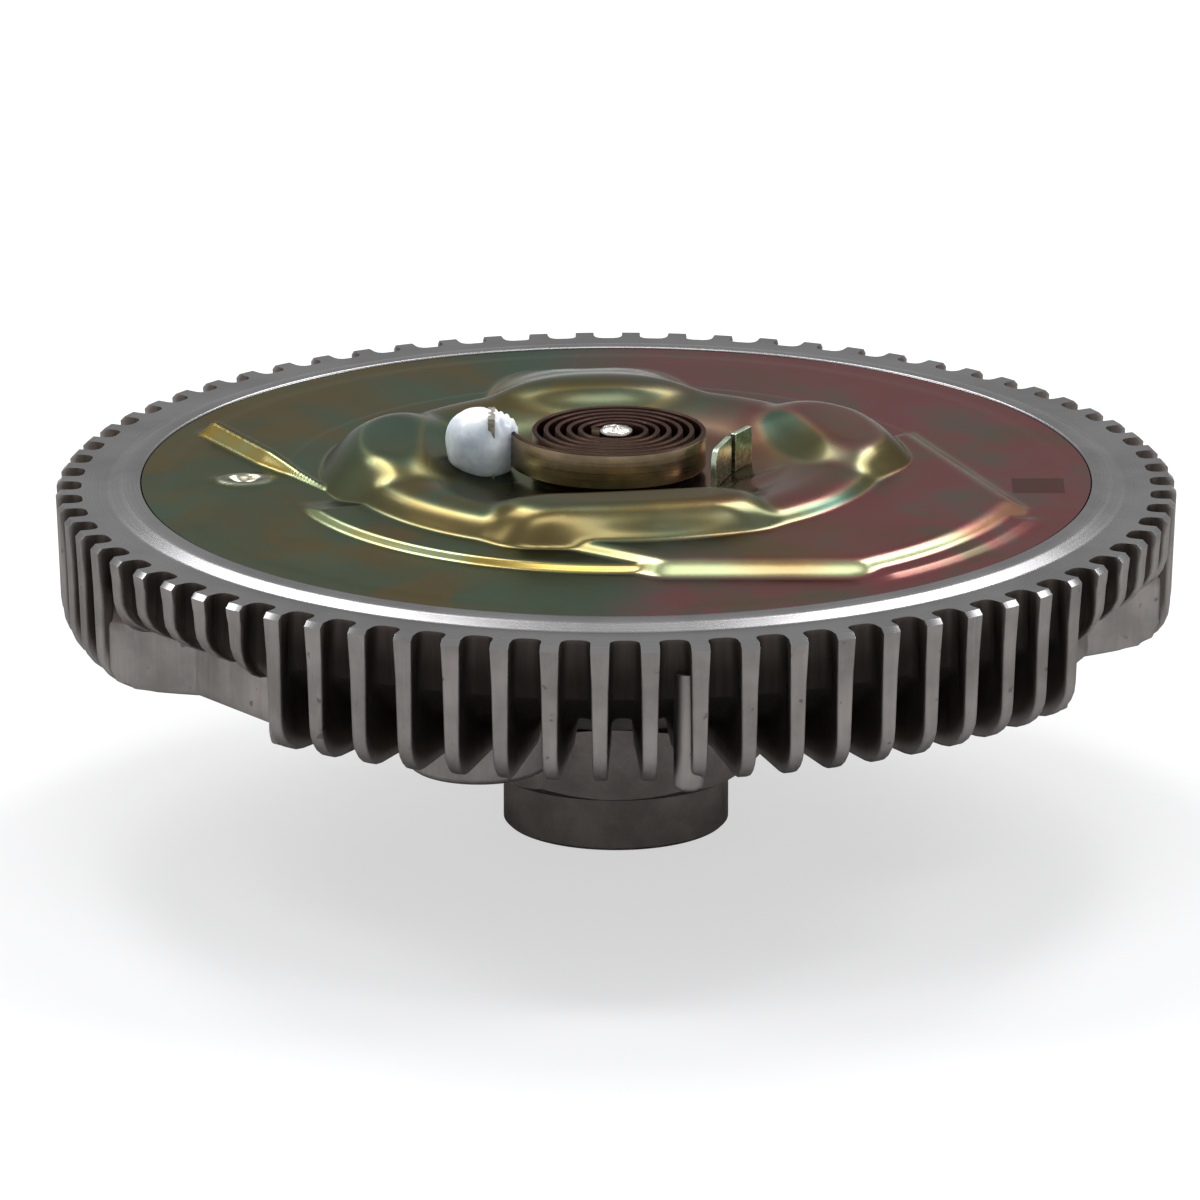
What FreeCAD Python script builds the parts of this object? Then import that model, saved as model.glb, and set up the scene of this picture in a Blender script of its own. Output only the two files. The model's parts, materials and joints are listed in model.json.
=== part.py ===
import FreeCAD, Part
import math
import os
import re
import Sketcher

V = FreeCAD.Vector
UP = V(0, 0, 1)
ORIGIN = V(0, 0, 0)

doc = FreeCAD.newDocument("ViscousFanClutch")
sheet = doc.addObject("Spreadsheet::Sheet", "Sizes")

# Driving dimensions, in millimetres and degrees.
# Heights are measured up from the hub's end face, where the clutch stands.
SIZES = {
    # finned housing
    "tip_radius": 100.0,
    "rim_level": 62.5,
    "fin_reach": 26.0,
    "short_fin_reach": 14.5,
    "rim_thickness": 11.0,
    "slot_root_radius": 95.5,
    "slot_width": 5.3,
    "slot_corner": 1.8,
    "fin_count": 72,
    "fins_per_short_run": 5,
    "fin_top_width": 3.3,
    "fin_bottom_width": 2.6,
    "fin_inner_radius": 66.0,
    "fin_heel_radius": 74.0,
    "tip_chamfer": 0.9,
    "fin_toe_round": 7.0,
    "short_toe_round": 10.0,
    "lobe_angle": -141.6,
    "lobe_flat_distance": 86.5,
    "lobe_flat_half_angle": 6.0,
    "lobe_side_radius": 94.0,
    "lobe_side_half_angle": 14.0,
    "rim_foot_radius": 89.0,
    "rim_foot_depth": 16.0,
    "floor_outer_radius": 60.0,
    "floor_depth": 25.0,
    "hub_wall_radius": 33.0,
    "hub_wall_depth": 33.0,
    "hub_nose_radius": 31.5,
    "hub_nose_depth": 36.5,
    "hub_lip_radius": 22.5,
    "bead_foot_radius": 90.6,
    "bead_crest_radius": 85.8,
    "bead_inner_radius": 84.7,
    "bead_height": 2.0,
    "bead_lip": 0.5,
    "boss_pitch_radius": 65.0,
    "boss_radius": 12.5,
    "boss_depth": 33.5,
    "boss_angle": -111.6,
    "boss_count": 3,
    "fan_screw_radius": 3.4,
    "fan_screw_depth": 13.0,
    "runner_offset": 12.5,
    "runner_distance": 94.0,
    "runner_radius": 2.6,
    "runner_depth": 27.2,
    # stamped cover
    "cover_radius": 87.0,
    "cover_rise": 1.0,
    "cover_sheet": 1.5,
    "dish_radius": 26.0,
    "dish_rise": 1.4,
    "ring_inner_radius": 35.0,
    "ring_outer_radius": 45.0,
    "ring_foot_radius": 52.5,
    "ring_rise": 4.4,
    "pad_rise": 6.5,
    "pad_slope": 5.5,
    "front_pad_angle": -80.5,
    "front_pad_start": 27.0,
    "front_pad_end": 40.0,
    "front_pad_width": 38.0,
    "left_pad_angle": 182.0,
    "left_pad_start": 36.0,
    "left_pad_end": 47.0,
    "left_pad_width": 34.0,
    "right_pad_angle": 16.0,
    "right_pad_start": 37.0,
    "right_pad_end": 47.0,
    "right_pad_width": 34.0,
    "back_pad_angle": 94.0,
    "back_pad_start": 41.0,
    "back_pad_end": 57.0,
    "back_pad_width": 33.0,
    "arm_rise": 2.5,
    "arm_slope": 4.5,
    "arm_edge_start": 8.6,
    "arm_edge_distance": 57.9,
    "arm_corner_angle": -57.2,
    "arm_end_angle": -18.2,
    "arm_arc_radius": 72.0,
    "arm_back_angle": 24.0,
    "arm_back_radius": 56.3,
    "step_rise": 1.3,
    "step_radius": 59.5,
    "step_start_angle": -164.0,
    "step_end_angle": -82.3,
    "bead_rib_start_across": -72.0,
    "bead_rib_start_along": 27.8,
    "bead_rib_end_across": -52.2,
    "bead_rib_end_along": -6.8,
    "bead_rib_radius": 2.3,
    "eyelet_across": -66.3,
    "eyelet_along": -1.8,
    "eyelet_radius": 4.3,
    "eyelet_rise": 0.7,
    "eyelet_hollow_radius": 2.7,
    # parts under the cover
    "gasket_thickness": 0.5,
    "gasket_width": 6.0,
    "plate_radius": 84.2,
    "plate_thickness": 1.0,
    "plate_seat_radius": 80.5,
    "gate_radius": 3.0,
    "gate_distance": 27.0,
    "gate_angle": 200.0,
    "pump_hole_radius": 1.5,
    "wiper_angle": 60.0,
    "wiper_inset": 6.0,
    "wiper_length": 9.0,
    "wiper_width": 6.0,
    "wiper_thickness": 2.3,
    "wiper_rivet_radius": 1.2,
    "wiper_head_radius": 2.2,
    "wiper_head_height": 0.4,
    # coupling disc with its interleaved lands
    "chamber_floor_level": 46.4,
    "axial_gap": 0.8,
    "land_height": 5.8,
    "land_width": 2.0,
    "land_pitch": 5.0,
    "first_land_radius": 50.0,
    "rotor_land_count": 6,
    "rotor_radius": 78.0,
    "rotor_web": 4.4,
    "rotor_hub_rise": 0.6,
    "rotor_hub_radius": 18.5,
    "rotor_seat_radius": 11.0,
    "chamber_gap": 0.7,
    "chamber_wall": 8.0,
    "trench_inner_radius": 31.0,
    "trench_outer_radius": 45.0,
    "trench_level": 40.0,
    # drive shaft
    "collar_radius": 20.2,
    "collar_height": 10.2,
    "hex_across_flats": 46.0,
    "hex_height": 13.3,
    "hex_chamfer": 2.4,
    "hex_turn_angle": 0.0,
    "neck_radius": 15.0,
    "thread_radius": 14.2,
    "thread_depth": 22.0,
    "shaft_end_level": 59.9,
    "shaft_chamfer": 1.0,
    # ball bearing
    "bearing_level": 29.0,
    "bearing_height": 15.0,
    "bearing_bore_radius": 12.5,
    "bearing_outer_radius": 26.0,
    "inner_land_radius": 16.2,
    "outer_land_radius": 22.3,
    "ball_radius": 3.97,
    "ball_pitch_radius": 19.25,
    "ball_count": 9,
    "groove_gap": 0.06,
    "cage_thickness": 1.4,
    "cage_height": 9.6,
    "cage_gap": 0.2,
    "seal_thickness": 1.0,
    "seal_inset": 0.3,
    "seal_gap": 0.15,
    "ring_thickness": 1.4,
    "ring_depth": 1.6,
    "ring_width": 4.0,
    "rotor_ring_thickness": 1.2,
    "rotor_ring_depth": 1.0,
    "rotor_ring_width": 3.0,
    # valve gear
    "pin_radius": 3.0,
    "pin_end_level": 61.9,
    "pin_head_level": 73.3,
    "pin_head_height": 0.9,
    "pin_slot_width": 1.1,
    "bush_wall": 2.0,
    "bush_flange_radius": 6.5,
    "bush_flange": 1.0,
    "seal_section_radius": 0.6,
    "arm_level": 62.1,
    "arm_thickness": 0.8,
    "arm_hub_radius": 6.0,
    "arm_width": 9.0,
    # bimetal coil and its brackets
    "strip_width": 6.3,
    "strip_thickness": 0.9,
    "strip_level": 66.2,
    "coil_inner_radius": 4.4,
    "coil_pitch": 2.05,
    "coil_turns": 5.95,
    "coil_end_angle": -176.0,
    "coil_departure": 1.8,
    "anchor_distance": 21.6,
    "anchor_thickness": 1.2,
    "anchor_width": 8.0,
    "anchor_height": 11.0,
    "anchor_foot": 4.0,
    "potting_distance": 24.6,
    "potting_along": 0.8,
    "potting_half_length": 6.6,
    "potting_half_width": 6.4,
    "potting_half_height": 6.6,
    "potting_centre_rise": 4.0,
    "stop_thickness": 1.0,
    "stop_height": 7.0,
    "stop_gap": 1.0,
    "stop_near_across": 16.9,
    "stop_near_along": -11.4,
    "stop_bend_across": 20.1,
    "stop_bend_along": -1.3,
    "stop_far_across": 23.4,
    "stop_far_along": 4.7,
    "stop_foot_width": 2.0,
    # shared clearances
    "running_gap": 0.05,
    "seat_gap": 0.02,
}
for row, (alias, number) in enumerate(SIZES.items(), start=1):
    sheet.set(f"A{row}", alias)
    sheet.set(f"B{row}", str(number))
    sheet.setAlias(f"B{row}", alias)
doc.recompute()


def formula(text):
    """Turn plain size names into references to the sheet's cells."""
    def cell(match):
        word = match.group(0)
        return "Sizes." + word if word in SIZES else word

    return re.sub(r"[a-z][a-z_]*", cell, text)


def size(text):
    """The present value of a formula of size names."""
    return float(sheet.evalExpression(formula(text)))


# Levels and radii that several pieces share.
RIM = "rim_level"
SHEET_TOP = "(rim_level + cover_rise)"
SHEET_UNDER = "(rim_level + cover_rise - cover_sheet)"
GASKET_UNDER = f"({SHEET_UNDER} - gasket_thickness)"
PLATE_UNDER = f"({GASKET_UNDER} - plate_thickness)"
DISH_TOP = f"({SHEET_TOP} + dish_rise)"
DISH_UNDER = f"({DISH_TOP} - cover_sheet)"
WEB_UNDER = "(chamber_floor_level + axial_gap + land_height)"
WEB_TOP = f"({WEB_UNDER} + rotor_web)"
LAND_END = "(chamber_floor_level + axial_gap)"
CHAMBER_RADIUS = "(rotor_radius + chamber_gap)"
WIPER_DISTANCE = "(rotor_radius - wiper_inset)"
BEARING_TOP = "(bearing_level + bearing_height)"
BEARING_MIDDLE = "(bearing_level + bearing_height / 2)"
HEX_LEVEL = "collar_height"
HEX_TOP = "(collar_height + hex_height)"
ROTOR_TOP = f"({WEB_TOP} + rotor_hub_rise)"


def angled(radius, degrees, level=0.0):
    """The point at a radius and an angle about the axis, at a level."""
    turn = math.radians(degrees)
    return V(radius * math.cos(turn), radius * math.sin(turn), level)


def plane_of(body, role):
    """One of a body's own origin planes."""
    return next(item for item in body.Origin.OriginFeatures if item.Role == role)


def outline(sketch, corners):
    """Draw a closed outline whose corners are bound to formulas of the sizes."""
    exact = [(formula(across), formula(along)) for across, along in corners]
    places = [
        V(float(sketch.evalExpression(across)), float(sketch.evalExpression(along)), 0)
        for across, along in exact
    ]
    first = sketch.GeometryCount
    count = len(places)
    for index in range(count):
        edge = Part.LineSegment(places[index], places[(index + 1) % count])
        sketch.addGeometry(edge, False)
    for index in range(count):
        following = first + (index + 1) % count
        sketch.addConstraint(Sketcher.Constraint("Coincident", first + index, 2, following, 1))
    for index, (across, along) in enumerate(exact):
        for kind, text, value in (
            ("DistanceX", across, places[index].x),
            ("DistanceY", along, places[index].y),
        ):
            rule = Sketcher.Constraint(kind, -1, 1, first + index, 1, value)
            number = sketch.addConstraint(rule)
            sketch.setExpression(f"Constraints[{number}]", text)


def turned(label, corners, sweep="360"):
    """A piece turned about the vertical axis from a section of (radius, level) corners."""
    body = doc.addObject("PartDesign::Body", label)
    section = body.newObject("Sketcher::SketchObject", label + "_section")
    section.AttachmentSupport = [(plane_of(body, "XZ_Plane"), "")]
    section.MapMode = "FlatFace"
    outline(section, corners)
    turn = body.newObject("PartDesign::Revolution", label + "_turning")
    turn.Profile = section
    turn.ReferenceAxis = (section, ["V_Axis"])
    turn.setExpression("Angle", formula(sweep))
    body.Label = label
    return body


def cylinder(label, radius, height, across="0", along="0", level="0"):
    """A round bar standing at a place, bound to the sizes."""
    bar = doc.addObject("Part::Cylinder", label)
    bar.setExpression("Radius", formula(radius))
    bar.setExpression("Height", formula(height))
    bar.setExpression("Placement.Base.x", formula(across))
    bar.setExpression("Placement.Base.y", formula(along))
    bar.setExpression("Placement.Base.z", formula(level))
    return bar


def feature(label, shape):
    """A piece whose shape is worked out here from the sizes."""
    item = doc.addObject("Part::Feature", label)
    item.Shape = shape
    item.Placement = shape.Placement
    return item


def joined(label, members):
    """The union of several objects."""
    union = doc.addObject("Part::MultiFuse", label)
    union.Shapes = members
    return union


def minus(label, base, tool):
    """One object with another taken out of it."""
    cut = doc.addObject("Part::Cut", label)
    cut.Base = base
    cut.Tool = tool
    return cut


def revolved(corners, start=0.0, sweep=360.0):
    """A solid of revolution from (radius, level) numbers, from one angle through another."""
    points = [V(radius, 0, level) for radius, level in corners]
    face = Part.Face(Part.makePolygon(points + points[:1]))
    solid = face.revolve(ORIGIN, UP, sweep)
    return solid.rotated(ORIGIN, UP, start)


def slab(low, high, points):
    """A straight prism over a plan outline, between two levels."""
    corners = [V(point.x, point.y, low) for point in points]
    face = Part.Face(Part.makePolygon(corners + corners[:1]))
    return face.extrude(V(0, 0, high - low))


# Finned housing: a turned casting with blades, lobes and bosses.
def housing_section():
    """The corners of the turned core, from the bead round the outside and back inside."""
    outside = [
        ("bead_foot_radius", RIM),
        ("slot_root_radius", RIM),
        ("slot_root_radius", "rim_level - rim_thickness"),
        ("rim_foot_radius", "rim_level - rim_foot_depth"),
        ("floor_outer_radius", "rim_level - floor_depth"),
        ("hub_wall_radius", "rim_level - hub_wall_depth"),
        ("hub_nose_radius", "rim_level - hub_nose_depth"),
        ("hub_lip_radius", "rim_level - hub_nose_depth"),
        ("hub_lip_radius", "bearing_level"),
    ]
    bearing_seat = [
        ("bearing_outer_radius + seat_gap", "bearing_level"),
        ("bearing_outer_radius + seat_gap", BEARING_TOP),
        ("bearing_outer_radius + ring_depth", BEARING_TOP),
        ("bearing_outer_radius + ring_depth", f"{BEARING_TOP} + ring_thickness"),
        ("bearing_outer_radius + seat_gap", f"{BEARING_TOP} + ring_thickness"),
        ("bearing_outer_radius + seat_gap", "chamber_floor_level"),
        ("trench_inner_radius", "chamber_floor_level"),
        ("trench_inner_radius", "trench_level"),
        ("trench_outer_radius", "trench_level"),
        ("trench_outer_radius + land_width", "chamber_floor_level"),
    ]
    lands = []
    for index in range(int(SIZES["rotor_land_count"]) - 1):
        middle = f"first_land_radius + {index + 0.5} * land_pitch"
        inner = f"{middle} - land_width / 2"
        outer = f"{middle} + land_width / 2"
        crest = "chamber_floor_level + land_height"
        lands += [(inner, "chamber_floor_level"), (inner, crest)]
        lands += [(outer, crest), (outer, "chamber_floor_level")]
    mouth = [
        (CHAMBER_RADIUS, "chamber_floor_level"),
        (CHAMBER_RADIUS, f"{WEB_TOP} + axial_gap"),
        ("plate_seat_radius", f"{WEB_TOP} + axial_gap"),
        ("plate_seat_radius", PLATE_UNDER),
        ("plate_radius + running_gap", PLATE_UNDER),
        ("plate_radius + running_gap", GASKET_UNDER),
        ("cover_radius + running_gap", GASKET_UNDER),
        ("cover_radius + running_gap", SHEET_TOP),
        ("bead_inner_radius", SHEET_TOP),
        ("bead_inner_radius", f"{SHEET_TOP} + bead_lip"),
        ("bead_crest_radius", "rim_level + bead_height"),
        ("bead_crest_radius + 1.2", "rim_level + bead_height"),
    ]
    return outside + bearing_seat + lands + mouth


def fin_angles():
    """The angles of the tall fins and of the short ones, in three equal sectors."""
    count = int(SIZES["fin_count"])
    step = 360.0 / count
    sector = count // 3
    tall = sector - int(SIZES["fins_per_short_run"])
    first_tall = size("lobe_angle") + step * (int(SIZES["fins_per_short_run"]) + 1) / 2
    angles = [first_tall + step * index for index in range(count)]
    high = [angle for index, angle in enumerate(angles) if index % sector < tall]
    low = [angle for index, angle in enumerate(angles) if index % sector >= tall]
    return high, low


def blade_envelope(reach, toe):
    """The ring that the blades fill: chamfered at the top and rounded at the toe."""
    tip, top = size("tip_radius"), size("rim_level")
    inner, heel = size("fin_inner_radius"), size("fin_heel_radius")
    chamfer = size("tip_chamfer")
    low = top - reach
    ceiling = top - size("rim_thickness") / 2
    under_floor = size("trench_level + chamber_floor_level") / 2
    chamber = size(CHAMBER_RADIUS) + size("chamber_wall") / 2
    corner = V(tip - toe * (1 - math.sqrt(0.5)), 0, low + toe * (1 - math.sqrt(0.5)))
    toe_arc = Part.Arc(V(tip, 0, low + toe), corner, V(tip - toe, 0, low)).toShape()
    knee = V(inner, 0, low + (heel - inner) / 2)
    edges = [
        toe_arc,
        Part.makeLine(V(tip - toe, 0, low), V(heel, 0, low)),
        Part.makeLine(V(heel, 0, low), knee),
        Part.makeLine(knee, V(inner, 0, under_floor)),
        Part.makeLine(V(inner, 0, under_floor), V(chamber, 0, under_floor)),
        Part.makeLine(V(chamber, 0, under_floor), V(chamber, 0, ceiling)),
        Part.makeLine(V(chamber, 0, ceiling), V(tip - chamfer, 0, ceiling)),
        Part.makeLine(V(tip - chamfer, 0, ceiling), V(tip - chamfer, 0, top)),
        Part.makeLine(V(tip - chamfer, 0, top), V(tip, 0, top - chamfer)),
        Part.makeLine(V(tip, 0, top - chamfer), V(tip, 0, low + toe)),
    ]
    face = Part.Face(Part.Wire(edges))
    return face.revolve(ORIGIN, UP, 360)


def blades(angles, reach, toe):
    """Tapered upright blades at the given angles, trimmed to their envelope."""
    inner, outer = size("fin_inner_radius - 1"), size("tip_radius + 1")
    top, low = size("rim_level - rim_thickness / 2"), size("rim_level") - size("fin_reach") - 1
    def rectangle(width, level):
        half = width / 2
        corners = [V(inner, -half, level), V(outer, -half, level)]
        corners += [V(outer, half, level), V(inner, half, level)]
        return Part.makePolygon(corners + corners[:1])

    ends = [rectangle(size("fin_bottom_width"), low), rectangle(size("fin_top_width"), top)]
    blade = Part.makeLoft(ends, True, True)
    row = Part.makeCompound([blade.rotated(ORIGIN, UP, angle) for angle in angles])
    return row.common(blade_envelope(reach, toe))


def slotted_rim(angles):
    """The rim disc with a rounded slot between each two fins."""
    tip, top = size("tip_radius"), size("rim_level")
    chamfer, low = size("tip_chamfer"), size("rim_level - rim_thickness")
    inner = size("bead_foot_radius - 2")
    rim = revolved([
        (inner, low), (tip, low), (tip, top - chamfer), (tip - chamfer, top), (inner, top),
    ])
    root, half, corner = size("slot_root_radius"), size("slot_width / 2"), size("slot_corner")
    far = tip + 1
    bend = corner * (1 - math.sqrt(0.5))
    edges = [
        Part.makeLine(V(far, -half, 0), V(root + corner, -half, 0)),
        Part.Arc(
            V(root + corner, -half, 0), V(root + bend, -half + bend, 0),
            V(root, -half + corner, 0)).toShape(),
        Part.makeLine(V(root, -half + corner, 0), V(root, half - corner, 0)),
        Part.Arc(
            V(root, half - corner, 0), V(root + bend, half - bend, 0),
            V(root + corner, half, 0)).toShape(),
        Part.makeLine(V(root + corner, half, 0), V(far, half, 0)),
        Part.makeLine(V(far, half, 0), V(far, -half, 0)),
    ]
    slot = Part.Face(Part.Wire(edges)).extrude(V(0, 0, top - low + 2))
    slot.translate(V(0, 0, low - 1))
    half_step = 180.0 / int(SIZES["fin_count"])
    cutters = [slot.rotated(ORIGIN, UP, angle + half_step) for angle in angles]
    return rim.cut(Part.makeCompound(cutters))


def lobes():
    """Three solid lobes under the short fins, each with a flat and two flared sides."""
    low, high = size("rim_level - fin_reach"), size("rim_level - rim_thickness + 1")
    flat, side = size("lobe_flat_distance"), size("lobe_side_radius")
    flat_angle, side_angle = size("lobe_flat_half_angle"), size("lobe_side_half_angle")
    near = flat / math.cos(math.radians(flat_angle))
    inner = size("fin_inner_radius + 4")
    plan = [
        angled(inner, -side_angle), angled(side, -side_angle), angled(near, -flat_angle),
        angled(near, flat_angle), angled(side, side_angle), angled(inner, side_angle),
    ]
    block = slab(low, high, plan)
    turns = [size("lobe_angle") + 120 * index for index in range(3)]
    row = Part.makeCompound([block.rotated(ORIGIN, UP, turn) for turn in turns])
    return row.common(blade_envelope(size("fin_reach"), size("fin_toe_round")))


high_fins, low_fins = fin_angles()
housing_core = turned("housing_core", housing_section())
rim = feature("slotted_rim", slotted_rim(high_fins + low_fins))
tall_blades = feature("tall_blades", blades(high_fins, size("fin_reach"), size("fin_toe_round")))
short_blades = feature(
    "short_blades", blades(low_fins, size("short_fin_reach"), size("short_toe_round"))
)
lobe_blocks = feature("lobe_blocks", lobes())
bosses, screw_holes = [], []
for index in range(int(SIZES["boss_count"])):
    turn = f"(boss_angle + {index} * 360 / boss_count)"
    across = f"boss_pitch_radius * cos({turn} * 1deg)"
    along = f"boss_pitch_radius * sin({turn} * 1deg)"
    bottom = "rim_level - boss_depth"
    height = f"chamber_floor_level - 2 - ({bottom})"
    bosses.append(cylinder(f"boss_{index + 1}", "boss_radius", height, across, along, bottom))
    screw_holes.append(cylinder(
        f"screw_hole_{index + 1}", "fan_screw_radius", "fan_screw_depth + 1",
        across, along, f"{bottom} - 1"))
runner = cylinder(
    "runner", "runner_radius", "runner_depth - rim_thickness / 2",
    "runner_offset", "-runner_distance", "rim_level - runner_depth")
casting = joined(
    "casting", [housing_core, rim, tall_blades, short_blades, lobe_blocks, runner] + bosses
)
housing = minus("housing", casting, joined("screw_holes", screw_holes))


# Stamped front cover: a disc with raised forms, hollow beneath them.
def pad(name, floor):
    """A raised pad: a flat top at a direction, with sloping sides down to the floor."""
    angle, start, end, width = (size(f"{name}_pad_{part}") for part in (
        "angle", "start", "end", "width"))
    top = size(f"{SHEET_TOP} + pad_rise")
    spread = size("pad_slope") * (top - floor) / size("pad_rise")

    def ring(grow, level):
        half = width / 2 + grow
        corners = [V(start - grow, -half, level), V(end + grow, -half + end / 8, level)]
        corners += [V(end + grow, half - end / 8, level), V(start - grow, half, level)]
        return Part.makePolygon(corners + corners[:1])

    solid = Part.makeLoft([ring(spread, floor), ring(0, top)], True, True)
    return solid.rotated(ORIGIN, UP, angle)


def raised_arm(floor):
    """The broad raised arm at the front right, with an outer edge on an arc."""
    top = size(f"{SHEET_TOP} + arm_rise")
    slope = size("arm_slope") * (top - floor) / size("arm_rise")

    def ring(grow, level):
        arc = size("arm_arc_radius") + grow
        edge = size("arm_edge_distance") + grow
        corner_angle, end_angle = size("arm_corner_angle"), size("arm_end_angle")
        corner = V(math.sqrt(arc * arc - edge * edge), -edge, level)
        end = angled(arc, end_angle, level)
        middle = angled(arc, (corner_angle + end_angle) / 2, level)
        back = angled(size("arm_back_radius") + grow, size("arm_back_angle"), level)
        inner = angled(size("ring_inner_radius"), size("arm_back_angle"), level)
        start = V(size("arm_edge_start"), -edge, level)
        hidden = V(size("arm_edge_start"), -size("ring_inner_radius"), level)
        edges = [
            Part.makeLine(start, corner),
            Part.Arc(corner, middle, end).toShape(),
            Part.makeLine(end, back), Part.makeLine(back, inner),
            Part.makeLine(inner, hidden), Part.makeLine(hidden, start),
        ]
        return Part.Wire(edges)

    return Part.makeLoft([ring(slope, floor), ring(0, top)], True, True)


def raised_forms(floor):
    """All raised forms of the stamping as one solid, down to a floor level."""
    top = size(SHEET_TOP)
    hole = size("pin_radius + running_gap + bush_wall + seat_gap")
    ring = revolved([
        (hole, floor), (size("ring_foot_radius"), floor), (size("ring_foot_radius"), top),
        (size("ring_outer_radius"), top + size("ring_rise")),
        (size("ring_inner_radius"), top + size("ring_rise")),
        (size("dish_radius"), top + size("dish_rise")), (hole, top + size("dish_rise")),
    ])
    step = size("step_radius")
    rise = size("step_rise")
    band = revolved(
        [(size("ring_outer_radius"), floor), (step, floor), (step, top),
         (step - rise, top + rise), (size("ring_outer_radius"), top + rise)],
        size("step_start_angle"), size("step_end_angle") - size("step_start_angle"))
    start = V(size("bead_rib_start_across"), size("bead_rib_start_along"), top)
    end = V(size("bead_rib_end_across"), size("bead_rib_end_along"), top)
    radius = size("bead_rib_radius")
    rib = Part.makeCylinder(radius, (end - start).Length, start, end - start)
    tip = Part.makeSphere(radius, start)
    pads = [pad(name, floor) for name in ("front", "left", "right", "back")]
    return ring.multiFuse(pads + [raised_arm(floor), band, rib, tip])


def front_cover():
    """The stamped sheet: disc and forms, less the same forms one sheet lower."""
    top, under = size(SHEET_TOP), size(SHEET_UNDER)
    sheet_thickness = size("cover_sheet")
    floor = under - 2 * sheet_thickness
    forms = raised_forms(floor)
    disc = Part.makeCylinder(size("cover_radius"), sheet_thickness, V(0, 0, under))
    hole = size("pin_radius + running_gap + bush_wall + seat_gap")
    disc = disc.cut(Part.makeCylinder(hole, sheet_thickness, V(0, 0, under)))
    hollow = forms.translated(V(0, 0, -sheet_thickness))
    below = Part.makeCylinder(size("cover_radius"), under - floor + sheet_thickness * 2,
                              V(0, 0, floor - sheet_thickness * 2))
    stamped = disc.fuse(forms).cut(hollow).cut(below)
    place = V(size("eyelet_across"), size("eyelet_along"), top)
    collar = Part.makeCylinder(size("eyelet_radius"), size("eyelet_rise"), place)
    collar = collar.cut(Part.makeCylinder(size("eyelet_hollow_radius"), size("eyelet_rise"), place))
    return stamped.fuse(collar)


cover = feature("front_cover", front_cover())

# Gasket under the cover's edge.
turned("cover_gasket", [
    ("cover_radius - gasket_width", GASKET_UNDER), ("cover_radius", GASKET_UNDER),
    ("cover_radius", SHEET_UNDER), ("cover_radius - gasket_width", SHEET_UNDER),
])

# Pump plate between the fluid store and the working chamber.
plate_blank = cylinder("plate_blank", "plate_radius", "plate_thickness", level=PLATE_UNDER)


def plate_drill(label, radius, distance, turn):
    """A hole through the pump plate."""
    return cylinder(
        label, radius, "plate_thickness + 2", f"{distance} * cos({turn} * 1deg)",
        f"{distance} * sin({turn} * 1deg)", f"{PLATE_UNDER} - 1")


plate_holes = joined("plate_holes", [
    plate_drill("gate_hole", "gate_radius", "gate_distance", "gate_angle"),
    plate_drill("pump_hole", "pump_hole_radius", WIPER_DISTANCE, "(wiper_angle - wiper_length)"),
    plate_drill("rivet_hole", "wiper_rivet_radius + seat_gap", WIPER_DISTANCE, "wiper_angle"),
])
minus("pump_plate", plate_blank, plate_holes)


# Wiper block on the plate's underside, with its rivet.
def wiper_block():
    """A small block lying across the disc's face, drilled for its rivet."""
    long, wide = size("wiper_length / 2"), size("wiper_width / 2")
    middle = size(WIPER_DISTANCE)
    low, high = size(f"{PLATE_UNDER} - wiper_thickness"), size(PLATE_UNDER)
    block = slab(low, high, [
        V(middle - wide, -long, 0), V(middle + wide, -long, 0),
        V(middle + wide, long, 0), V(middle - wide, long, 0),
    ])
    drill = Part.makeCylinder(size("wiper_rivet_radius + seat_gap"), high - low, V(middle, 0, low))
    return block.cut(drill).rotated(ORIGIN, UP, size("wiper_angle"))


feature("wiper_block", wiper_block())
rivet_across = f"{WIPER_DISTANCE} * cos(wiper_angle * 1deg)"
rivet_along = f"{WIPER_DISTANCE} * sin(wiper_angle * 1deg)"
rivet_shank = cylinder(
    "rivet_shank", "wiper_rivet_radius", "wiper_thickness + plate_thickness",
    rivet_across, rivet_along, f"{PLATE_UNDER} - wiper_thickness")
rivet_head = cylinder(
    "rivet_head", "wiper_head_radius", "wiper_head_height",
    rivet_across, rivet_along, GASKET_UNDER)
joined("wiper_rivet", [rivet_shank, rivet_head])


# Coupling disc: a web with ring lands that run between the housing's lands.
def rotor_section():
    """The corners of the disc's section, from its hub out along the lands and back."""
    corners = [
        ("rotor_seat_radius + seat_gap", BEARING_TOP), ("rotor_hub_radius", BEARING_TOP),
        ("rotor_hub_radius", WEB_UNDER),
    ]
    for index in range(int(SIZES["rotor_land_count"])):
        middle = f"first_land_radius + {index} * land_pitch"
        inner = f"{middle} - land_width / 2"
        outer = f"{middle} + land_width / 2"
        corners += [(inner, WEB_UNDER), (inner, LAND_END), (outer, LAND_END), (outer, WEB_UNDER)]
    corners += [
        ("rotor_radius", WEB_UNDER), ("rotor_radius", WEB_TOP),
        ("rotor_hub_radius", WEB_TOP), ("rotor_hub_radius - 1", ROTOR_TOP),
        ("rotor_seat_radius + seat_gap", ROTOR_TOP),
    ]
    return corners


turned("rotor", rotor_section())

# Snap ring that holds the disc on the shaft.
turned("rotor_retaining_ring", [
    ("rotor_seat_radius - rotor_ring_depth + seat_gap", ROTOR_TOP),
    ("rotor_seat_radius - rotor_ring_depth + rotor_ring_width", ROTOR_TOP),
    ("rotor_seat_radius - rotor_ring_depth + rotor_ring_width",
     f"{ROTOR_TOP} + rotor_ring_thickness"),
    ("rotor_seat_radius - rotor_ring_depth + seat_gap", f"{ROTOR_TOP} + rotor_ring_thickness"),
])

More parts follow.
